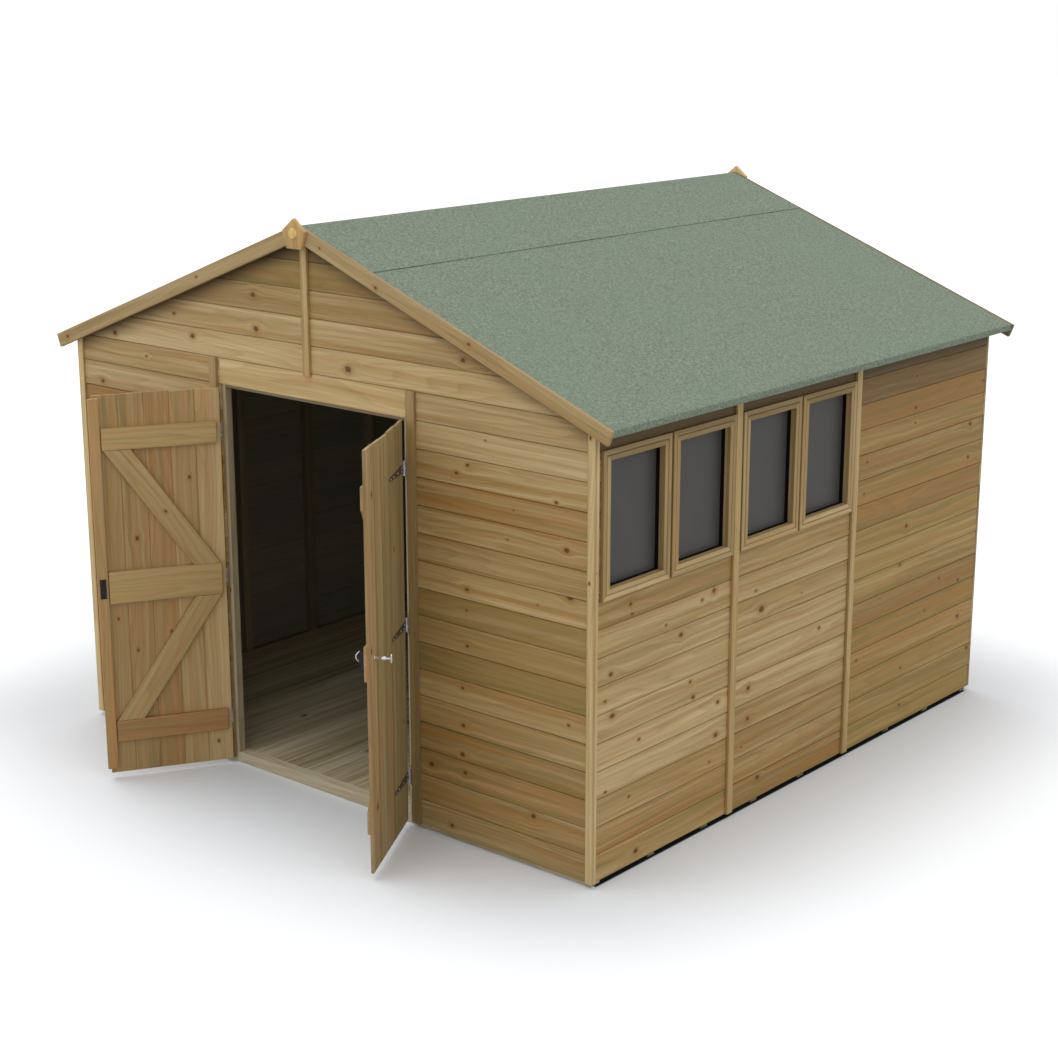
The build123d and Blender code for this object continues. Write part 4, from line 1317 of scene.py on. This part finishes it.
lock = {
    "case": (0.056, 0.020, 0.084),
    "grip": (0.0104, 0.0102),
    "turn": 0.046,
    "turnBar": (0.014, 0.0088),
    "bow": 0.014,
}
roseProfile = [
    (0.0005, 0), (0.0115, 0), (0.0115, 0.0016), (0.0105, 0.0026), (0.0066, 0.0032), (0.0062, 0.0135),
    (0.0086, 0.0142), (0.0095, 0.0154), (0.0095, 0.0432), (0.0086, 0.0444), (0.005, 0.0450), (0.0045, 0.052),
    (0.0048, 0.0600), (0.0004, 0.0610),
]
turnProfile = [(0.0005, 0), (0.011, 0), (0.0108, 0.003), (0.0062, 0.005), (0.0055, 0.018), (0.0004, 0.020)]


def bar(centre, length, wide, deep, sides, stations=25, power=2.4):
    # an upright grip: an oval section carried along, full at the middle and drawn in to round ends
    s = np.sin(np.linspace(-math.pi / 2, math.pi / 2, stations))
    swell = (1 - np.abs(s) ** 6) ** 0.5 * (0.86 + 0.14 * (1 - s ** 2))
    swell = np.maximum(swell, 0.02)
    angle = np.arange(sides) / sides * 2 * math.pi
    c, d = np.cos(angle), np.sin(angle)
    p, q = np.sign(c) * np.abs(c) ** (2 / power), np.sign(d) * np.abs(d) ** (2 / power)
    oval = np.stack([p * wide / 2, q * deep / 2, 0 * p], -1)
    risen = (s * length / 2)[:, None, None] * np.array((0, 0, 1))
    points = np.asarray(centre) + risen + swell[:, None, None] * oval
    return {"points": points.reshape(-1, 3), "faces": tubeFaces(stations, sides)}


def lockPiece(name, parts, look, smooth=None):
    piece(name, parts, look, "door_lock", body="right_door", smooth=smooth, side="right")


lockBoxes = boxesOf("door_lock", "right")
handleLow, handleHigh = [b for b in lockBoxes if b[0][1] < frontFace - 0.03][0]
caseLow, caseHigh = [b for b in lockBoxes if b[0][1] >= frontFace - 0.03][0]
x, z = (handleLow[0] + handleHigh[0]) / 2, (handleLow[2] + handleHigh[2]) / 2
rose = heads([(x, handleHigh[1], z)], [(0, -1, 0)], roseProfile, 28)
grip = bar((x, handleLow[1] + 0.0052, z), handleHigh[2] - handleLow[2], *lock["grip"], 20)
lockPiece("lock_handle_polished", [rose, grip], "polishedPlate", 50)
caseMiddle = (caseLow + caseHigh) / 2
wide, deep, tall = lock["case"]
corner = np.array((caseMiddle[0] - wide / 2, caseLow[1], caseMiddle[2] - tall / 2))
lockPiece("lock_case_steel", [timber(corner, corner + (wide, deep, tall), "h", 940, 0.003, 1)], "blackSteel")
stem = heads([(caseMiddle[0], caseLow[1] + deep, z)], [(0, 1, 0)], turnProfile, 24)
lockPiece("lock_stem_steel", [stem], "blackSteel", 50)
# the turn is a bar bowed away from the case: y = y - bow*(share of its half length squared)
turn = bar((caseMiddle[0], caseHigh[1] - 0.0045, z), lock["turn"], *lock["turnBar"], 18)
share = (turn["points"][:, 2] - z) / (lock["turn"] / 2)
turn["points"][:, 1] -= lock["bow"] * share ** 2
lockPiece("lock_turn_polished", [turn], "polishedPlate", 50)
print("ironmongery fitted")

# camera, floor and light
camera = {
    "place": (5.9097, -7.0750, 3.3744), "azimuth": 40.258, "elevation": 15.227, "lens": 68.61, "sensor": 36.0,
}


def added(thing):
    bpy.context.scene.collection.objects.link(thing)
    return thing


def aimed(thing, direction):
    thing.rotation_mode = "QUATERNION"
    thing.rotation_quaternion = Vector(direction).to_track_quat("-Z", "Y")


a, e = math.radians(camera["azimuth"]), math.radians(camera["elevation"])
eye = added(bpy.data.objects.new("camera", bpy.data.cameras.new("camera")))
eye.data.lens = camera["lens"]
eye.data.sensor_width = camera["sensor"]
eye.data.clip_end = 200
eye.location = camera["place"]
aimed(eye, (-math.sin(a) * math.cos(e), math.cos(a) * math.cos(e), -math.sin(e)))
bpy.context.scene.camera = eye

stage = {
    "half": 60.0,
    "paint": 0.5,             # how much light the floor throws back
    "camera": 1.15,           # and how light it looks
    "under": 0.03,            # painted shadow: the same under the building
    "underEdge": (1.456, 1.466),
    "underWider": 0.033,      # the dark reaches this much further along X
    "near": 0.74,             # painted shadow beside the walls, fading out at reach
    "reach": 1.15,
    "walls": 1.49,
    "shift": 0.14,
    "cool": (0.0, 0.035, 0.08),    # added to red, green and blue against the warm light that the walls throw
    "world": 0.85,
    "sun": 0.55,
    "sunAngle": 35.0,
    "sunWay": (0.26, 0.1, -1.0),
}
grid = np.array([(-1, -1, 0), (1, -1, 0), (1, 1, 0), (-1, 1, 0)], float) * stage["half"]
mesh = bpy.data.meshes.new("stage_floor")
mesh.from_pydata(grid.tolist(), [], [[0, 1, 2, 3]])
floor = added(bpy.data.objects.new("stage_floor", mesh))
material = bpy.data.materials.new("stageFloor")
material.use_nodes = True
begin(material.node_tree).nodes.clear()
seen = put("ShaderNodeLightPath").outputs["Is Camera Ray"]
level = scaled(seen, stage["camera"] - stage["paint"], stage["paint"])
here = parted(inObject())
# painted shadow under the building: the floor's level falls to the under value inside the walls
reach = greatest(beyond(here[0], stage["underWider"]), maths("ABSOLUTE", here[1]))
outside = between(reach, *stage["underEdge"], stage["under"], 1.0)
# painted shadow round the building: the floor darkens a little with nearness: sqrt(x*x + y*y), counted from
# the walls
offX = greatest(beyond(plus(here[0], stage["shift"]), stage["walls"]), 0.0)
offY = greatest(beyond(here[1], stage["walls"]), 0.0)
apart = maths("SQRT", plus(times(offX, offX), times(offY, offY)))
nearness = between(apart, stage["reach"], 0.0)
level = times(level, times(outside, scaled(nearness, stage["near"] - 1.0, 1.0)))
warmth = between(apart, 3.0, 0.2)
cool = [times(level, scaled(warmth, k, 1.0)) for k in stage["cool"]]
diffuse = put("ShaderNodeBsdfDiffuse", {"Color": joined(*cool)})
put("ShaderNodeOutputMaterial", {"Surface": diffuse.outputs[0]})
mesh.materials.append(material)
floor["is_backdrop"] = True

world = bpy.data.worlds.new("softSky")
bpy.context.scene.world = world
world.use_nodes = True
begin(world.node_tree).nodes.clear()
path = put("ShaderNodeLightPath")
clear = greatest(path.outputs["Is Camera Ray"], path.outputs["Is Transmission Ray"])
strength = scaled(clear, 1.0 - stage["world"], stage["world"])
sky = put("ShaderNodeBackground", {"Color": (1, 1, 1, 1), "Strength": strength})
put("ShaderNodeOutputWorld", {"Surface": sky.outputs[0]})

sun = added(bpy.data.objects.new("softSun", bpy.data.lights.new("softSun", "SUN")))
sun.data.energy = stage["sun"]
sun.data.angle = math.radians(stage["sunAngle"])
aimed(sun, stage["sunWay"])
bpy.context.scene.view_settings.view_transform = "Standard"
print("stage set")

low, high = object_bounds()
